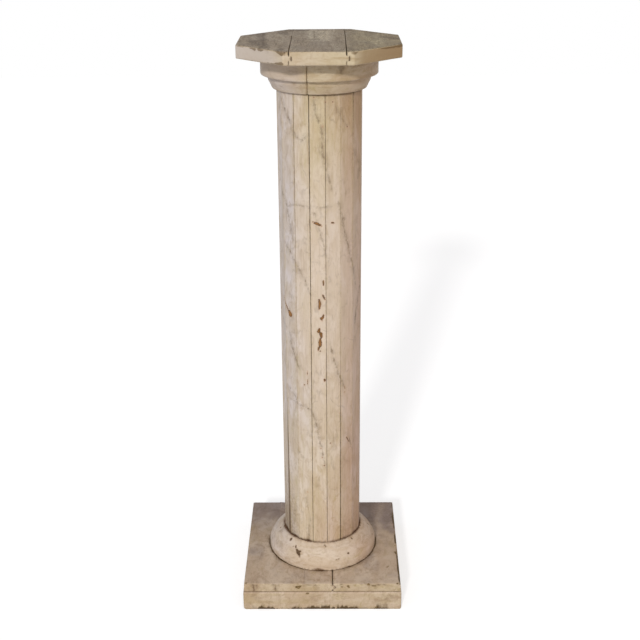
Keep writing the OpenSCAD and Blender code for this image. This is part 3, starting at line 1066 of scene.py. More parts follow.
def build_top_board(name):
    seed = TOP_WEAR_SEEDS[name]
    fillers = []
    for joint in TOP_JOINTS:
        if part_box(name)[0].x / MM > joint:
            near_corner = (joint + 1.2, -TOP_HALF, TOP_MIDDLE - 4.6)
            fillers = [(near_corner, (joint + 3.3, 6 - TOP_HALF, TOP_MIDDLE + 4.6))]
    points, quads, facing, corner = worn_skin(
        name, cell=1.5, bite=1.0, seed=seed, fillers=fillers, softness=0.12)
    x, y, z = points.T
    for joint, start in zip(TOP_JOINTS, JOINTS_FILLED_FROM):
        near = ease(4.0, 2.4, np.abs(x - joint))
        points[:, 2] += near * ease(TOP_Z - 3.5, TOP_Z - 2.2, z) * (TOP_Z - z)
        wide = ease(1060, 1062, z) * ease(-20, -90, y)
        filled = near * np.maximum(0.45 - 0.35 * wide, ease(start - 25, start, y))
        filled = np.maximum(filled, near * 0.7 * ease(1062, 1060, z) * ease(-120, -132, y))
        narrow = filled * ease(2.6, 1.6, np.abs(x - joint))
        points[:, 0] += narrow * 0.95 * (joint - x)
        corner = corner * (1 - near)
    x, y, z = points.T
    up = facing[:, 2] > 0.55
    side = np.abs(facing[:, 2]) <= 0.55
    front = facing[:, 1] < -0.6
    depth = np.where(up | (z > 1062), chip_reach(x, y, TOP_CHIPS), -FAR)
    depth = np.maximum(depth, np.where(front, chip_reach(x, z, SIDE_CHIPS), -FAR))
    points = pressed(points, facing, ease(-0.6, 1.4, depth))
    dark, dark_ink = stroke_reach(x, y, TOP_DARK_LINES)
    loops, loop_ink = stroke_reach(x, y, TOP_PALE_LOOPS)
    wander = 7 * unevenness(points, (14, 26, 14), seed + 11, 2)
    starry = ease(-25, -11, x + wander) * ease(30, 16, x + wander)
    starry = starry * ease(-32, 4, y + wander) * ease(134, 108, y)
    starry = np.maximum(starry, 0.6 * ease(14, 4, np.hypot(x - 99, (y + 35) / 3.2)))
    streaks = ease(0.0, 0.6, unevenness(points, (7, 90, 30), seed + 7, 3))
    blots = chip_reach(x, y, TOP_STAINS) + 10 * unevenness(points, (7, 20, 9), seed + 3, 3)
    stain = 0.85 * ease(-9, 7, blots) + 0.2 * ease(-60, -125, x) + 0.35 * streaks + 0.3 * ease(112, 138, y)
    stain = stain + 0.4 * ease(0.2, 0.7, unevenness(points, (12, 60, 30), seed + 4, 3))
    ragged = 1.6 * unevenness(points, 5.0, seed + 8, 3)
    side_stain = ease(1048.5, 1045.5, z + ragged) * (0.6 + 0.4 * ease(-30, -60, x))
    side_stain = side_stain + ease(1066.0, 1068.5, z + 1.1 * ragged) * (0.55 + 0.5 * ease(80, 120, np.abs(x)))
    side_stain = side_stain + 0.9 * ease(1063.2, 1066.2, z + ragged) * ease(96, 114, x) * (y < 0)
    bruise = chip_reach(x, z, TOP_BRUISES) + 1.2 * ragged
    side_stain = side_stain + 1.2 * ease(-1.5, 1.5, bruise)
    off_corner = np.hypot(np.abs(x) - TOP_CORNER_X, 1.4 * (z - 1067)) + 1.5 * ragged
    side_stain = side_stain + 0.7 * ease(8.5, 1.5, off_corner)
    side_stain = side_stain + 0.25 * ease(0.1, 0.7, unevenness(points, (14, 14, 7), seed + 10, 3))
    groove = np.minimum(np.abs(x - TOP_JOINTS[0]), np.abs(x - TOP_JOINTS[1]))
    slot = np.full(len(x), FAR)
    for joint in TOP_JOINTS:
        beside = np.maximum(np.abs(x - joint - SLOT_ASIDE) - 0.3, 0)
        above = np.maximum(np.abs(z - SLOT_Z) - 2.8, 0)
        slot = np.where(front, np.minimum(slot, np.hypot(beside, above)), slot)
    points = pressed(points, facing, 1.6 * ease(1.3, 0.2, slot))
    tongue_end = ease(1053, 1054.5, z) * ease(1062, 1060.5, z) * front * 2.2
    lip = ease(0.35, 0.9, corner)
    top_seam = groove + 1.7 + 1.2 * ease(-60, 0, y) + 2.0 * ease(40, 60, y) * (x < 0)
    # Painted light and shade on the sides, fading towards the back.
    side_light_tone = np.interp(x, SIDE_TONE_X, SIDE_LIGHT_TONES) * (1 - 0.7 * ease(-20, 90, y))
    fields = {
        "bare": depth,
        "vein": np.where(up, dark, FAR),
        "vein_ink": np.where(up, dark_ink, 0),
        "dirt": np.clip(stain * up + side * side_stain + 0.4 * lip * up, 0, 1.2),
        "edge": corner,
        "tone": 0.2 * unevenness(points, (60, 90, 60), seed + 5, 2) + side * side_light_tone,
        "pale": np.clip(np.where(up, ease(8, 0.5, loops) * loop_ink + starry, 0), 0, 1),
        "seam": np.minimum(1.6 * slot, np.where(side, groove + 1.2 + tongue_end, top_seam)),
        "olive": side * ease(-40, 30, x) * 0.8 + up * (0.15 + 0.75 * ease(20, 80, x)),
    }
    return finish_piece(name, points, quads, fields, "abacus_wood")


for name in TOP_WEAR_SEEDS:
    build_top_board(name)
print("gaps in the top, mm from the axis:", [round(x, 1) for x in TOP_JOINTS])

# %% [markdown]
# ## Writing a finish
#
# A finish is a network of small steps. This helper adds one step at a time, and takes either a plain
# value or the output of an earlier step for each socket, so that a recipe reads from top to bottom.

# %% A helper that writes finish recipes
def paint_colour(red, green, blue):
    """A colour as mixed on a screen, from 0 to 255, as Blender's linear light."""
    linear = []
    for part in (red, green, blue):
        share = part / 255
        linear.append(share / 12.92 if share <= 0.04045 else ((share + 0.055) / 1.055) ** 2.4)
    return (*linear, 1.0)


def palette(**mixed):
    """Named colours, each mixed from red, green and blue."""
    return {name: paint_colour(*parts) for name, parts in mixed.items()}


class Recipe:
    """One node network, written step by step."""

    def __init__(self, tree):
        self.tree = tree

    def feed(self, socket, value):
        if isinstance(value, bpy.types.NodeSocket):
            self.tree.links.new(value, socket)
        else:
            socket.default_value = value

    def step(self, kind, sockets, **settings):
        node = self.tree.nodes.new(kind)
        for name, value in settings.items():
            setattr(node, name, value)
        for key, value in sockets.items():
            self.feed(node.inputs[key], value)
        return node

    def maths(self, operation, a, b=0.0, hold=False):
        return self.step("ShaderNodeMath", {0: a, 1: b}, operation=operation, use_clamp=hold).outputs[0]

    def blend(self, share, a, b, how="MIX"):
        node = self.step("ShaderNodeMix", {}, data_type="RGBA", blend_type=how)
        for index, value in ((0, share), (6, a), (7, b)):
            self.feed(node.inputs[index], value)
        return node.outputs[2]

    def between(self, value, low, high, to_low=0.0, to_high=1.0):
        sockets = {"Value": value, "From Min": low, "From Max": high, "To Min": to_low, "To Max": to_high}
        return self.step("ShaderNodeMapRange", sockets, interpolation_type="SMOOTHSTEP").outputs[0]

    def noise(self, vector, scale, detail=2.0, rough=0.5, warp=0.0):
        sockets = {"Vector": vector, "Scale": scale, "Detail": detail, "Roughness": rough, "Distortion": warp}
        return self.step("ShaderNodeTexNoise", sockets).outputs[0]

    def times(self, a, b, hold=False):
        return self.maths("MULTIPLY", a, b, hold)

    def plus(self, a, b, hold=False):
        return self.maths("ADD", a, b, hold)

    def minus(self, a, b):
        return self.maths("SUBTRACT", a, b)

    def patches(self, vector, scale, detail, rough, low, high):
        """Soft patches of noise: 0 where it is below low, 1 where it is above high."""
        return self.between(self.noise(vector, scale, detail, rough), low, high)

    def threads(self, noise, middle, wide, narrow):
        """Thin winding lines, along which a noise crosses a middle value."""
        return self.between(self.maths("ABSOLUTE", self.minus(noise, middle)), wide, narrow)

    def sway(self, vector, scale, detail, rough, reach):
        """Noise that goes as far below nought as above it."""
        return self.times(self.minus(self.noise(vector, scale, detail, rough), 0.5), reach)

    def stretch(self, vector, factors):
        return self.step("ShaderNodeVectorMath", {0: vector, 1: factors}, operation="MULTIPLY").outputs[0]

    def field(self, name):
        return self.step("ShaderNodeAttribute", {}, attribute_name=name).outputs["Fac"]

    def place(self):
        """Where the surface lies, in mm."""
        spot = self.tree.nodes.new("ShaderNodeTexCoord").outputs["Object"]
        return self.stretch(spot, (1 / MM, 1 / MM, 1 / MM))

    def seen_directly(self):
        """1 where the eye, a mirror or a glass looks straight at the surface, 0 for the light it throws."""
        rays = self.tree.nodes.new("ShaderNodeLightPath").outputs
        seen = self.maths("MAXIMUM", rays["Is Camera Ray"], rays["Is Glossy Ray"])
        return self.maths("MAXIMUM", seen, rays["Is Transmission Ray"])

    def show(self, shader, kind="ShaderNodeOutputMaterial"):
        self.step(kind, {"Surface": shader.outputs[0]})

    def coat(self, colour, rough, height, relief, gloss):
        """The shader of a worn surface; relief is the depth of its bump in metres."""
        bump = self.step("ShaderNodeBump", {"Strength": 0.8, "Distance": relief, "Height": height})
        self.show(self.step("ShaderNodeBsdfPrincipled", {
            "Base Color": colour, "Roughness": rough, "Normal": bump.outputs[0], "Specular IOR Level": gloss,
        }))


def new_material(name):
    """An empty material, and the recipe that will write it."""
    material = bpy.data.materials.new(name)
    material.use_nodes = True
    material.node_tree.nodes.clear()
    return material, Recipe(material.node_tree)


print("stone colour:", [round(part, 3) for part in paint_colour(200, 180, 152)[:3]])

# %% [markdown]
# ## Sharing an effect
#
# Brushed paint, grain, chips and dirt turn up in every finish. Each is written once, as a group that
# takes a place and a few values and gives colours, masks or heights, and is then set into a finish.

# %% Helpers for shared effects
KINDS = {"value": "NodeSocketFloat", "vector": "NodeSocketVector", "colour": "NodeSocketColor"}


def shared_effect(name, takes, gives):
    """A node group with named sockets, its recipe, the sockets it takes and those it gives."""
    tree = bpy.data.node_groups.new(name, "ShaderNodeTree")
    for socket, kind in takes.items():
        tree.interface.new_socket(socket, in_out="INPUT", socket_type=KINDS[kind])
    for socket, kind in gives.items():
        tree.interface.new_socket(socket, in_out="OUTPUT", socket_type=KINDS[kind])
    taken = tree.nodes.new("NodeGroupInput").outputs
    given = tree.nodes.new("NodeGroupOutput").inputs
    return tree, Recipe(tree), taken, given


def use_effect(recipe, effect, place, sockets):
    """Sets a shared effect into a finish at a place, with its own values, and gives its outputs."""
    node = recipe.tree.nodes.new("ShaderNodeGroup")
    node.node_tree = effect
    recipe.feed(node.inputs["Place"], place)
    for key, value in sockets.items():
        recipe.feed(node.inputs[key], value)
    return node.outputs


print("kinds of value:", ", ".join(KINDS))

# %% [markdown]
# ## Brushed paint
#
# Distemper or emulsion laid on with a brush is never one colour. There are broad clouds where it was
# mixed or has yellowed, drawn-out brush marks, and fine grit. The group takes a stretch that says
# which way the brush went, and gives a colour, a roughness and a height for the bump.

# %% Shared effect: brushed paint
WHITE = (1.0, 1.0, 1.0, 1.0)
SPECK_TINT = (0.5, 0.42, 0.34, 1.0)
brushed_paint, recipe, taken, given = shared_effect(
    "brushed_paint",
    {"Place": "vector", "Brush Stretch": "vector", "Body": "colour", "Pale": "colour", "Deep": "colour",
     "Stain": "colour", "Cloud Size": "value"},
    {"Colour": "colour", "Roughness": "value", "Height": "value"},
)
drawn = recipe.stretch(taken["Place"], taken["Brush Stretch"])
cloud_scale = recipe.maths("DIVIDE", 1.0, taken["Cloud Size"])
clouds = recipe.noise(drawn, cloud_scale, 4.0, 0.6, 0.8)
deep_place = recipe.stretch(drawn, (1.0, 1.3, 1.1))
deep_clouds = recipe.noise(deep_place, recipe.times(cloud_scale, 1.9), 5.0, 0.65, 1.2)
stain_place = recipe.stretch(drawn, (-1.2, 0.9, 0.8))
stains = recipe.noise(stain_place, recipe.times(cloud_scale, 1.5), 5.0, 0.7, 1.0)
streaks = recipe.noise(recipe.stretch(drawn, (1.0, 1.0, 0.22)), 0.2, 3.0, 0.6)
strokes = recipe.noise(recipe.stretch(drawn, (1.0, 1.0, 0.35)), 0.55, 3.0, 0.6)
grit = recipe.noise(taken["Place"], 0.8, 3.0, 0.7)
specks = recipe.noise(taken["Place"], 0.24, 5.0, 0.8)
colour = taken["Body"]
for noise, low, high, share, paint in (
    (clouds, 0.4, 0.62, 1.0, "Pale"),
    (deep_clouds, 0.48, 0.7, 0.85, "Deep"),
    (stains, 0.52, 0.72, 0.7, "Stain"),
    (streaks, 0.5, 0.7, 0.4, "Deep"),
    (strokes, 0.35, 0.7, 0.25, "Pale"),
    (grit, 0.55, 0.75, 0.25, "Deep"),
):
    colour = recipe.blend(recipe.between(noise, low, high, 0.0, share), colour, taken[paint])
dull = recipe.blend(recipe.between(specks, 0.6, 0.74, 0.0, 0.6), WHITE, SPECK_TINT)
recipe.feed(given["Colour"], recipe.blend(1.0, colour, dull, "MULTIPLY"))
recipe.feed(given["Roughness"], recipe.between(clouds, 0.3, 0.7, 0.62, 0.5))
height = recipe.plus(recipe.times(strokes, 0.6), recipe.times(grit, 0.35))
recipe.feed(given["Height"], recipe.plus(height, recipe.times(streaks, 0.5)))
print("made", brushed_paint.name)

# %% [markdown]
# ## Wood grain
#
# Long fibres along the board, with darker lines of late wood between them. The same grain shows
# inside the chips of the shaft, in orange, and on the bare top, in grey.

# %% Shared effect: wood grain
wood_grain, recipe, taken, given = shared_effect(
    "wood_grain",
    {"Place": "vector", "Grain Stretch": "vector", "Early Wood": "colour", "Late Wood": "colour"},
    {"Colour": "colour", "Height": "value"},
)
drawn = recipe.stretch(taken["Place"], taken["Grain Stretch"])
wander = recipe.noise(drawn, 0.05, 2.0, 0.5, 0.4)
rings = recipe.noise(drawn, 0.16, 3.0, 0.6, 1.2)
fibres = recipe.noise(recipe.stretch(drawn, (1.0, 1.0, 0.5)), 0.6, 3.0, 0.6)
late = recipe.between(rings, 0.48, 0.66)
line = recipe.times(late, recipe.between(fibres, 0.3, 0.6, 0.55, 1.0))
colour = recipe.blend(line, taken["Early Wood"], taken["Late Wood"])
colour = recipe.blend(recipe.between(wander, 0.4, 0.7, 0.0, 0.35), colour, taken["Late Wood"])
recipe.feed(given["Colour"], colour)
recipe.feed(given["Height"], recipe.plus(recipe.times(fibres, 0.7), recipe.times(line, 0.5)))
print("made", wood_grain.name)

# %% [markdown]
# ## Chips, strokes, dirt and painted shade
#
# Three more effects turn the stored distances into marks. A chip gets a ragged outline and a thin
# raised lip of paint. A brush stroke is dark at its heart, smudged at its sides, and broken along
# its length. Dirt, and the painted shade stored with it, gathers unevenly where a field says that it can.

# %% Shared effects: chips, smudged strokes, settled dirt and painted shade
paint_chip, recipe, taken, given = shared_effect(
    "paint_chip", {"Place": "vector", "Depth": "value"}, {"Bare": "value", "Lip": "value", "Rim": "value"}
)
reach = recipe.plus(taken["Depth"], recipe.sway(taken["Place"], 0.55, 3.0, 0.65, 3.2))
lip = recipe.times(recipe.between(reach, -2.4, -0.2), recipe.between(reach, 0.2, -0.2))
rim = recipe.times(recipe.between(reach, -0.5, 0.1), recipe.between(reach, 1.3, 0.2))
recipe.feed(given["Bare"], recipe.between(reach, -0.25, 0.35))
recipe.feed(given["Lip"], lip)
recipe.feed(given["Rim"], rim)

smudged_stroke, recipe, taken, given = shared_effect(
    "smudged_stroke", {"Place": "vector", "Distance": "value", "Ink": "value"}, {"Mask": "value"}
)
wander = recipe.sway(taken["Place"], 0.13, 5.0, 0.75, 9.0)
off = recipe.maths("ABSOLUTE", recipe.plus(taken["Distance"], wander))
broken = recipe.patches(recipe.stretch(taken["Place"], (1.0, 1.0, 0.6)), 0.17, 4.0, 0.7, 0.38, 0.62)
patchy = recipe.patches(taken["Place"], 0.09, 4.0, 0.7, 0.35, 0.65)
heart = recipe.times(recipe.between(off, 2.8, 0.4), broken)
smudge = recipe.times(recipe.between(off, 10.0, 1.0), patchy)
mark = recipe.plus(recipe.times(heart, 0.8), recipe.times(smudge, 0.42))
recipe.feed(given["Mask"], recipe.times(mark, taken["Ink"], hold=True))

settled_dirt, recipe, taken, given = shared_effect(
    "settled_dirt", {"Place": "vector", "Amount": "value"}, {"Mask": "value"}
)
uneven = recipe.noise(taken["Place"], 0.22, 4.0, 0.65)
held = recipe.minus(recipe.times(taken["Amount"], 1.7), recipe.times(uneven, 0.8))
recipe.feed(given["Mask"], recipe.between(held, -0.15, 0.95))
print("made", paint_chip.name, smudged_stroke.name, settled_dirt.name)

# %% [markdown]
# ## The painted finishes
#
# Shaft, mouldings and plinth share one recipe with different colours: brushed paint first, then its
# rosy or brown cast, which also carries painted light and shade, pale rubbed places, some of them
# painted light, the marbling, worn corners, dirt and painted shade, the dark line beside an open
# joint, and last the chips down to the wood. The bump follows the same masks, so that a chip
# lies lower than the paint round it.

# %% Recipe for painted wood
YELLOWED = (0.92, 0.92, 0.77, 1.0)
CAST_LIFT = {"rosy": 0.96, "brown": 1.02}
DRAG_STRETCH = {
    "shaft_paint": (1.0, 1.0, 0.035),
    "moulding_paint": (0.2, 0.2, 1.6),
    "plinth_paint": (0.6, 0.25, 1.0),
}


def cast(colours, name):
    """What a cast does to the body colour, as a factor for each of red, green and blue."""
    return tuple(CAST_LIFT[name] * a / b for a, b in zip(colours[name][:3], colours["body"][:3])) + (1.0,)


def stored_marks(recipe, place):
    """Mask of the brush strokes, mask of the dirt and painted shade, and the chips, from what is stored on a
    piece.
    """
    stroke = use_effect(recipe, smudged_stroke, place, {
        "Distance": recipe.field("vein"), "Ink": recipe.field("vein_ink"),
    })
    dirt = use_effect(recipe, settled_dirt, place, {"Amount": recipe.field("dirt")})
    chip = use_effect(recipe, paint_chip, place, {"Depth": recipe.field("bare")})
    return stroke["Mask"], dirt["Mask"], chip


def painted_finish(name, colours, stretch, cloud_size, grain_stretch, marbling):
    material, recipe = new_material(name)
    place = recipe.place()
    paint = use_effect(recipe, brushed_paint, place, {
        "Brush Stretch": stretch, "Body": colours["body"], "Pale": colours["pale"],
        "Deep": colours["deep"], "Stain": colours["stain"], "Cloud Size": cloud_size,
    })
    wood = use_effect(recipe, wood_grain, place, {
        "Grain Stretch": grain_stretch, "Early Wood": colours["wood"], "Late Wood": colours["wood_dark"],
    })
    stroke, dirt, chip = stored_marks(recipe, place)
    bare = recipe.field("bare")
    tone = recipe.field("tone")
    # The rosy and brown casts lay the painted light and painted shade that the tone field carries, besides
    # real tone.
    colour = recipe.blend(recipe.between(tone, 0.0, -1.0), paint["Colour"], cast(colours, "rosy"), "MULTIPLY")
    colour = recipe.blend(recipe.between(tone, 0.0, 1.0), colour, cast(colours, "brown"), "MULTIPLY")
    colour = recipe.blend(recipe.field("olive"), colour, YELLOWED, "MULTIPLY")

    thread = recipe.noise(recipe.stretch(place, (1.0, 1.0, 0.45)), 0.021, 3.0, 0.5, 0.3)
    thread = recipe.threads(thread, 0.5, 0.022, 0.0)
    thread = recipe.times(thread, recipe.patches(place, 0.05, 4.0, 0.7, 0.42, 0.64))
    drag = recipe.patches(recipe.stretch(place, DRAG_STRETCH[name]), 0.4, 4.0, 0.68, 0.5, 0.68)
    drag = recipe.times(drag, recipe.patches(place, 0.02, 3.0, 0.6, 0.35, 0.6))
    worn = recipe.times(recipe.field("edge"), recipe.patches(place, 0.16, 4.0, 0.7, 0.5, 0.66), hold=True)
    seam_off = recipe.plus(recipe.field("seam"), recipe.times(recipe.noise(place, 0.3, 3.0, 0.6), 1.2))
    beside = recipe.patches(place, 0.15, 4.0, 0.7, 0.4, 0.66)
    beside = recipe.times(recipe.between(seam_off, 8.0, 1.5), beside)
    lip = recipe.times(chip["Lip"], recipe.between(bare, -3.0, 0.5, 0.15, 0.6))
    inside_chip = recipe.blend(recipe.between(bare, 0.2, 1.3), colours["pit"], wood["Colour"])
    for mask, share, over in (
        # pale places: rubbed paint, and painted light on the capital's band
        (recipe.field("pale"), 0.55, colours["pale"]),
        (stroke, 1.0, colours["vein"]),
        (thread, marbling, colours["vein"]),
        (drag, 0.3, colours["drag"]),
        (worn, 0.55, colours["worn"]),
        # dirt and painted shade, laid in the dirt colour
        (dirt, 1.0, colours["dirt"]),
        (beside, 0.5, colours["stain"]),
        (recipe.between(seam_off, 2.4, 0.5), 0.7, colours["dirt"]),
        (lip, 1.0, colours["lip"]),
        (chip["Bare"], 1.0, inside_chip),
        (chip["Rim"], 0.5, colours["dirt"]),
    ):
        colour = recipe.blend(recipe.times(mask, share), colour, over)

    rough = recipe.plus(paint["Roughness"], recipe.times(chip["Bare"], 0.25), hold=True)
    rough = recipe.plus(rough, recipe.times(dirt, 0.15), hold=True)
    height = recipe.plus(recipe.times(paint["Height"], 0.22), recipe.times(chip["Lip"], 0.25))
    height = recipe.minus(height, recipe.times(chip["Bare"], 0.5))
    height = recipe.plus(height, recipe.times(recipe.times(wood["Height"], chip["Bare"]), 0.4))
    recipe.coat(colour, rough, height, relief=0.0006, gloss=0.28)
    return material


print("casts:", ", ".join(CAST_LIFT))

# %% [markdown]
# ## The colours
#
# Each part was painted from the same pots, and has since gone its own way: the plinth is the dirtiest,
# and its chips show old, dull wood, while the chips of the shaft are fresh and orange.

# %% Mix the colours and make the painted finishes
SHAFT_COLOURS = palette(
    body=(206, 186, 160), pale=(219, 203, 186), deep=(186, 163, 134), stain=(190, 172, 132),
    rosy=(206, 193, 182), brown=(184, 152, 128), vein=(122, 103, 82), worn=(150, 116, 84),
    dirt=(88, 64, 44), lip=(204, 166, 136), pit=(88, 75, 58), drag=(160, 134, 106),
    wood=(160, 115, 69), wood_dark=(112, 76, 43),
)
MOULDING_COLOURS = palette(
    body=(200, 179, 154), pale=(212, 195, 176), deep=(178, 154, 128), stain=(182, 162, 122),
    rosy=(198, 182, 172), brown=(182, 150, 126), vein=(104, 80, 58), worn=(158, 126, 94),
    dirt=(100, 72, 50), lip=(150, 126, 98), pit=(96, 76, 54), drag=(158, 132, 104),
    wood=(104, 82, 60), wood_dark=(66, 52, 38),
)
PLINTH_COLOURS = palette(
    body=(190, 167, 143), pale=(204, 185, 164), deep=(166, 142, 118), stain=(168, 146, 108),
    rosy=(145, 127, 117), brown=(170, 136, 112), vein=(110, 86, 62), worn=(150, 126, 84),
    dirt=(86, 67, 40), lip=(158, 134, 90), pit=(108, 88, 56), drag=(140, 114, 86),
    wood=(146, 122, 84), wood_dark=(108, 88, 58),
)
finishes = {}
for name, colours, stretch, cloud_size, grain_stretch, marbling in (
    ("shaft_paint", SHAFT_COLOURS, (1.0, 1.0, 0.4), 30.0, (1.0, 1.0, 0.12), 0.26),
    ("moulding_paint", MOULDING_COLOURS, (0.6, 0.6, 1.6), 40.0, (0.2, 0.2, 1.0), 0.0),
    ("plinth_paint", PLINTH_COLOURS, (0.8, 0.5, 1.0), 42.0, (1.0, 0.14, 1.0), 0.0),
):
    finishes[name] = painted_finish(name, colours, stretch, cloud_size, grain_stretch, marbling)
print("painted finishes:", ", ".join(finishes))

# %% [markdown]
# ## The bare top
#
# Old pine, grey from years of dust and damp, with fine streaks along the boards, a band of starry
# scratches where something sharp was worked, and paler loops where it was rubbed. Its sides are
# painted. Which of the two shows is decided by how far the surface faces up, with a ragged limit,
# because the paint stops unevenly at the upper edge.

# %% Recipe for the top boards
TOP_COLOURS = palette(
    early=(154, 139, 122), late=(116, 100, 83), dull=(134, 122, 106), light=(166, 152, 132),
    web=(190, 176, 154), cut=(86, 72, 56), pale=(212, 200, 178), stroke=(84, 66, 50), soaked=(84, 69, 52),
    side=(197, 177, 147), side_pale=(208, 192, 168), side_deep=(180, 157, 126), side_stain=(184, 165, 128),
    rosy=(202, 190, 180), brown=(160, 132, 101), dirt=(106, 84, 54), seam=(70, 48, 32),
    chip=(132, 104, 72), chip_dark=(92, 70, 46),
)


def top_sides(recipe, place, dirt):
    """Colour of the painted sides of the top, with painted light and shade from the tone field."""
    paint = use_effect(recipe, brushed_paint, place, {
        "Brush Stretch": (0.5, 0.5, 1.4), "Body": TOP_COLOURS["side"], "Pale": TOP_COLOURS["side_pale"],
        "Deep": TOP_COLOURS["side_deep"], "Stain": TOP_COLOURS["side_stain"], "Cloud Size": 60.0,
    })
    tone = recipe.field("tone")
    sides = recipe.blend(recipe.between(tone, 0.0, -0.8), paint["Colour"], TOP_COLOURS["rosy"])
    sides = recipe.blend(recipe.between(tone, 0.0, 0.8), sides, TOP_COLOURS["brown"])
    sides = recipe.blend(recipe.times(recipe.field("olive"), 0.6), sides, YELLOWED, "MULTIPLY")
    return recipe.blend(recipe.times(dirt, 0.75), sides, TOP_COLOURS["dirt"])


def top_finish(name):
    material, recipe = new_material(name)
    place = recipe.place()
    bare = use_effect(recipe, wood_grain, place, {
        "Grain Stretch": (1.0, 0.09, 1.0),
        "Early Wood": TOP_COLOURS["early"], "Late Wood": TOP_COLOURS["late"],
    })
    stroke, dirt, chip = stored_marks(recipe, place)
    blotch = recipe.noise(recipe.stretch(place, (1.0, 0.6, 1.0)), 0.03, 4.0, 0.6, 0.8)
    scratches = recipe.noise(recipe.stretch(place, (1.0, 0.3, 1.0)), 0.1, 4.0, 0.65, 2.0)
    starry = recipe.threads(scratches, 0.5, 0.045, 0.01)
    webs = recipe.times(starry, recipe.patches(place, 0.03, 3.0, 0.6, 0.45, 0.6))
    cuts = recipe.noise(recipe.stretch(place, (1.0, 0.4, 1.0)), 0.07, 4.0, 0.65, 1.5)
    pale = recipe.times(recipe.field("pale"), recipe.between(starry, 0.0, 1.0, 0.2, 1.0), hold=True)
    streaks = recipe.noise(recipe.stretch(place, (1.0, 0.2, 1.0)), 0.3, 4.0, 0.7)
    soaked = recipe.times(dirt, recipe.between(streaks, 0.36, 0.62, 0.35, 1.0))
    colour = bare["Colour"]
    for mask, share, over in (
        (recipe.between(blotch, 0.4, 0.7), 0.55, "dull"),
        (recipe.between(blotch, 0.55, 0.3), 0.4, "light"),
        (webs, 0.6, "web"),
        (recipe.threads(cuts, 0.47, 0.03, 0.008), 0.55, "cut"),
        (pale, 0.95, "pale"),
        (stroke, 1.0, "stroke"),
        (soaked, 0.8, "soaked"),
    ):
        colour = recipe.blend(recipe.times(mask, share), colour, TOP_COLOURS[over])
    colour = recipe.blend(recipe.field("olive"), colour, YELLOWED, "MULTIPLY")

    normal = recipe.tree.nodes.new("ShaderNodeNewGeometry").outputs["True Normal"]
    upward = recipe.step("ShaderNodeSeparateXYZ", {0: normal}).outputs[2]
    upward = recipe.plus(upward, recipe.sway(place, 0.2, 4.0, 0.6, 0.7))
    colour = recipe.blend(recipe.between(upward, 0.35, 0.6), top_sides(recipe, place, dirt), colour)
    seam = recipe.between(recipe.field("seam"), 2.6, 0.9)
    colour = recipe.blend(recipe.times(seam, 0.75), colour, TOP_COLOURS["seam"])
    chip_wood = use_effect(recipe, wood_grain, place, {
        "Grain Stretch": (1.0, 0.12, 1.0),
        "Early Wood": TOP_COLOURS["chip"], "Late Wood": TOP_COLOURS["chip_dark"],
    })
    colour = recipe.blend(chip["Bare"], colour, chip_wood["Colour"])
    rough = recipe.between(blotch, 0.3, 0.7, 0.72, 0.6)
    scored = recipe.times(starry, recipe.times(recipe.field("pale"), 0.3))
    height = recipe.plus(recipe.times(bare["Height"], 0.45), scored)
    height = recipe.minus(height, recipe.times(stroke, 0.5))
    height = recipe.minus(height, recipe.times(chip["Bare"], 0.5))
    recipe.coat(colour, rough, height, relief=0.0007, gloss=0.22)
    return material


finishes["abacus_wood"] = top_finish("abacus_wood")
for piece, slot in pieces_made.values():
    piece.data.materials.append(finishes[slot])
triangles = sum(2 * len(piece.data.polygons) for piece, slot in pieces_made.values())
print("pieces:", len(pieces_made), "triangles:", triangles)

# %% [markdown]
# ## The studio
#
# A pale floor, one large soft lamp from the front left, a little above the eye, and a room that is
# cooler on the left than on the right and brighter in front than behind. The floor and the room look
# white where nothing shades them, and the floor keeps the shadow of the column.

# %% Floor, lamp and room
FLOOR_HALF = 6.0
FLOOR_LIFT = 0.62
LAMP = {"bearing": -13.0, "elevation": 26.0, "strength": 0.48 * math.pi, "spread": 5.0}
LAMP_COLOUR = (1.0, 0.985, 0.955)
ROOM_LEFT = (0.84, 0.87, 0.93, 1.0)
ROOM_RIGHT = (0.99, 0.92, 0.87, 1.0)
ROOM_FRONT_LEVEL = 0.85
ROOM_BACK_LEVEL = 0.30


def pale_floor():
    mesh = bpy.data.meshes.new("studio_floor")
    corners = [(x * FLOOR_HALF, y * FLOOR_HALF, 0) for x, y in ((-1, -1), (1, -1), (1, 1), (-1, 1))]
    mesh.from_pydata(corners, [], [(0, 1, 2, 3)])
    floor = bpy.data.objects.new("studio_floor", mesh)
    scene.collection.objects.link(floor)
    material, recipe = new_material("studio_floor")
    plain = recipe.step("ShaderNodeBsdfDiffuse", {"Color": paint_colour(205, 205, 206)})
    glow = recipe.times(recipe.seen_directly(), FLOOR_LIFT)
    lift = recipe.step("ShaderNodeEmission", {"Color": WHITE, "Strength": glow})
    recipe.show(recipe.step("ShaderNodeAddShader", {0: plain.outputs[0], 1: lift.outputs[0]}))
    mesh.materials.append(material)
    return floor


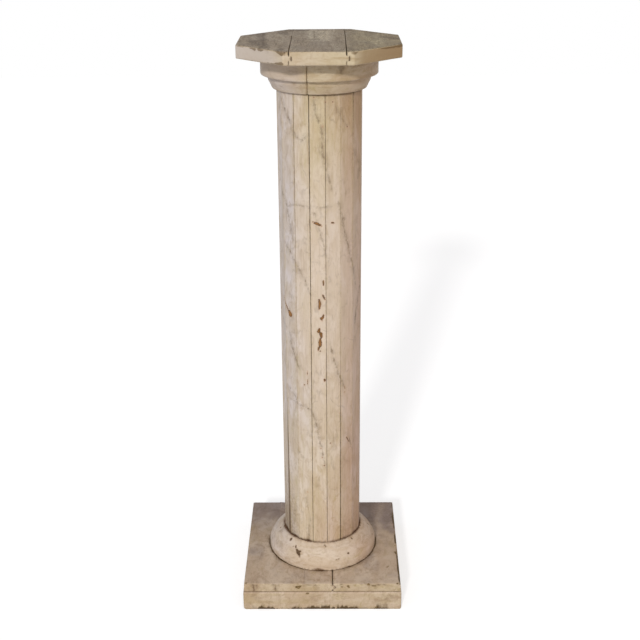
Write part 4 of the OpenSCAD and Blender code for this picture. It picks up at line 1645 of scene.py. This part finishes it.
def soft_lamp(bearing, elevation, strength, spread):
    """A far, soft lamp; its bearing runs from the front towards the right, in degrees."""
    data = bpy.data.lights.new("key", "SUN")
    data.energy = strength
    data.angle = math.radians(spread)
    data.color = LAMP_COLOUR
    lamp = bpy.data.objects.new("key", data)
    tilt = Matrix.Rotation(math.radians(90 - elevation), 4, "X")
    lamp.matrix_world = Matrix.Rotation(math.radians(bearing), 4, "Z") @ tilt
    scene.collection.objects.link(lamp)
    return lamp


def studio_room():
    """Light from all round: cooler on the left, brighter in front, and white where it is seen."""
    world = bpy.data.worlds.new("studio_room")
    scene.world = world
    world.use_nodes = True
    world.node_tree.nodes.clear()
    recipe = Recipe(world.node_tree)
    way = recipe.tree.nodes.new("ShaderNodeTexCoord").outputs["Generated"]
    parts = recipe.step("ShaderNodeSeparateXYZ", {0: way}).outputs
    colour = recipe.blend(recipe.between(parts[0], -0.9, 0.9), ROOM_LEFT, ROOM_RIGHT)
    level = recipe.between(parts[1], -0.85, 0.6, ROOM_FRONT_LEVEL, ROOM_BACK_LEVEL)
    light = recipe.step("ShaderNodeBackground", {"Color": colour, "Strength": level})
    white = recipe.step("ShaderNodeBackground", {"Color": WHITE, "Strength": 1.0})
    both = {0: recipe.seen_directly(), 1: light.outputs[0], 2: white.outputs[0]}
    recipe.show(recipe.step("ShaderNodeMixShader", both), "ShaderNodeOutputWorld")


pale_floor()
soft_lamp(**LAMP)
studio_room()
print("room level from", ROOM_BACK_LEVEL, "to", ROOM_FRONT_LEVEL)

# %% [markdown]
# ## The camera
#
# It stands two metres in front, a little above the top, and looks down on the column, with a normal
# lens and no shift. It leans a fraction of a degree, as a hand-held camera does.

# %% Camera
LENS_MM = 62.31
CAMERA_PLACE = (0.0169, -1.952, 1.3324)
CAMERA_TURN, CAMERA_DOWN, CAMERA_ROLL = 0.556, 21.892, -0.42
camera_data = bpy.data.cameras.new("camera")
camera_data.sensor_width = 36.0
camera_data.lens = LENS_MM
camera_data.clip_end = 50.0
camera = bpy.data.objects.new("camera", camera_data)
look = Matrix.Translation(CAMERA_PLACE)
for angle, axis in ((CAMERA_TURN, "Z"), (90 - CAMERA_DOWN, "X"), (CAMERA_ROLL, "Z")):
    look = look @ Matrix.Rotation(math.radians(angle), 4, axis)
camera.matrix_world = look
scene.collection.objects.link(camera)
scene.camera = camera
scene.view_settings.view_transform = "Standard"
print("camera at", [round(part, 3) for part in camera.matrix_world.translation])
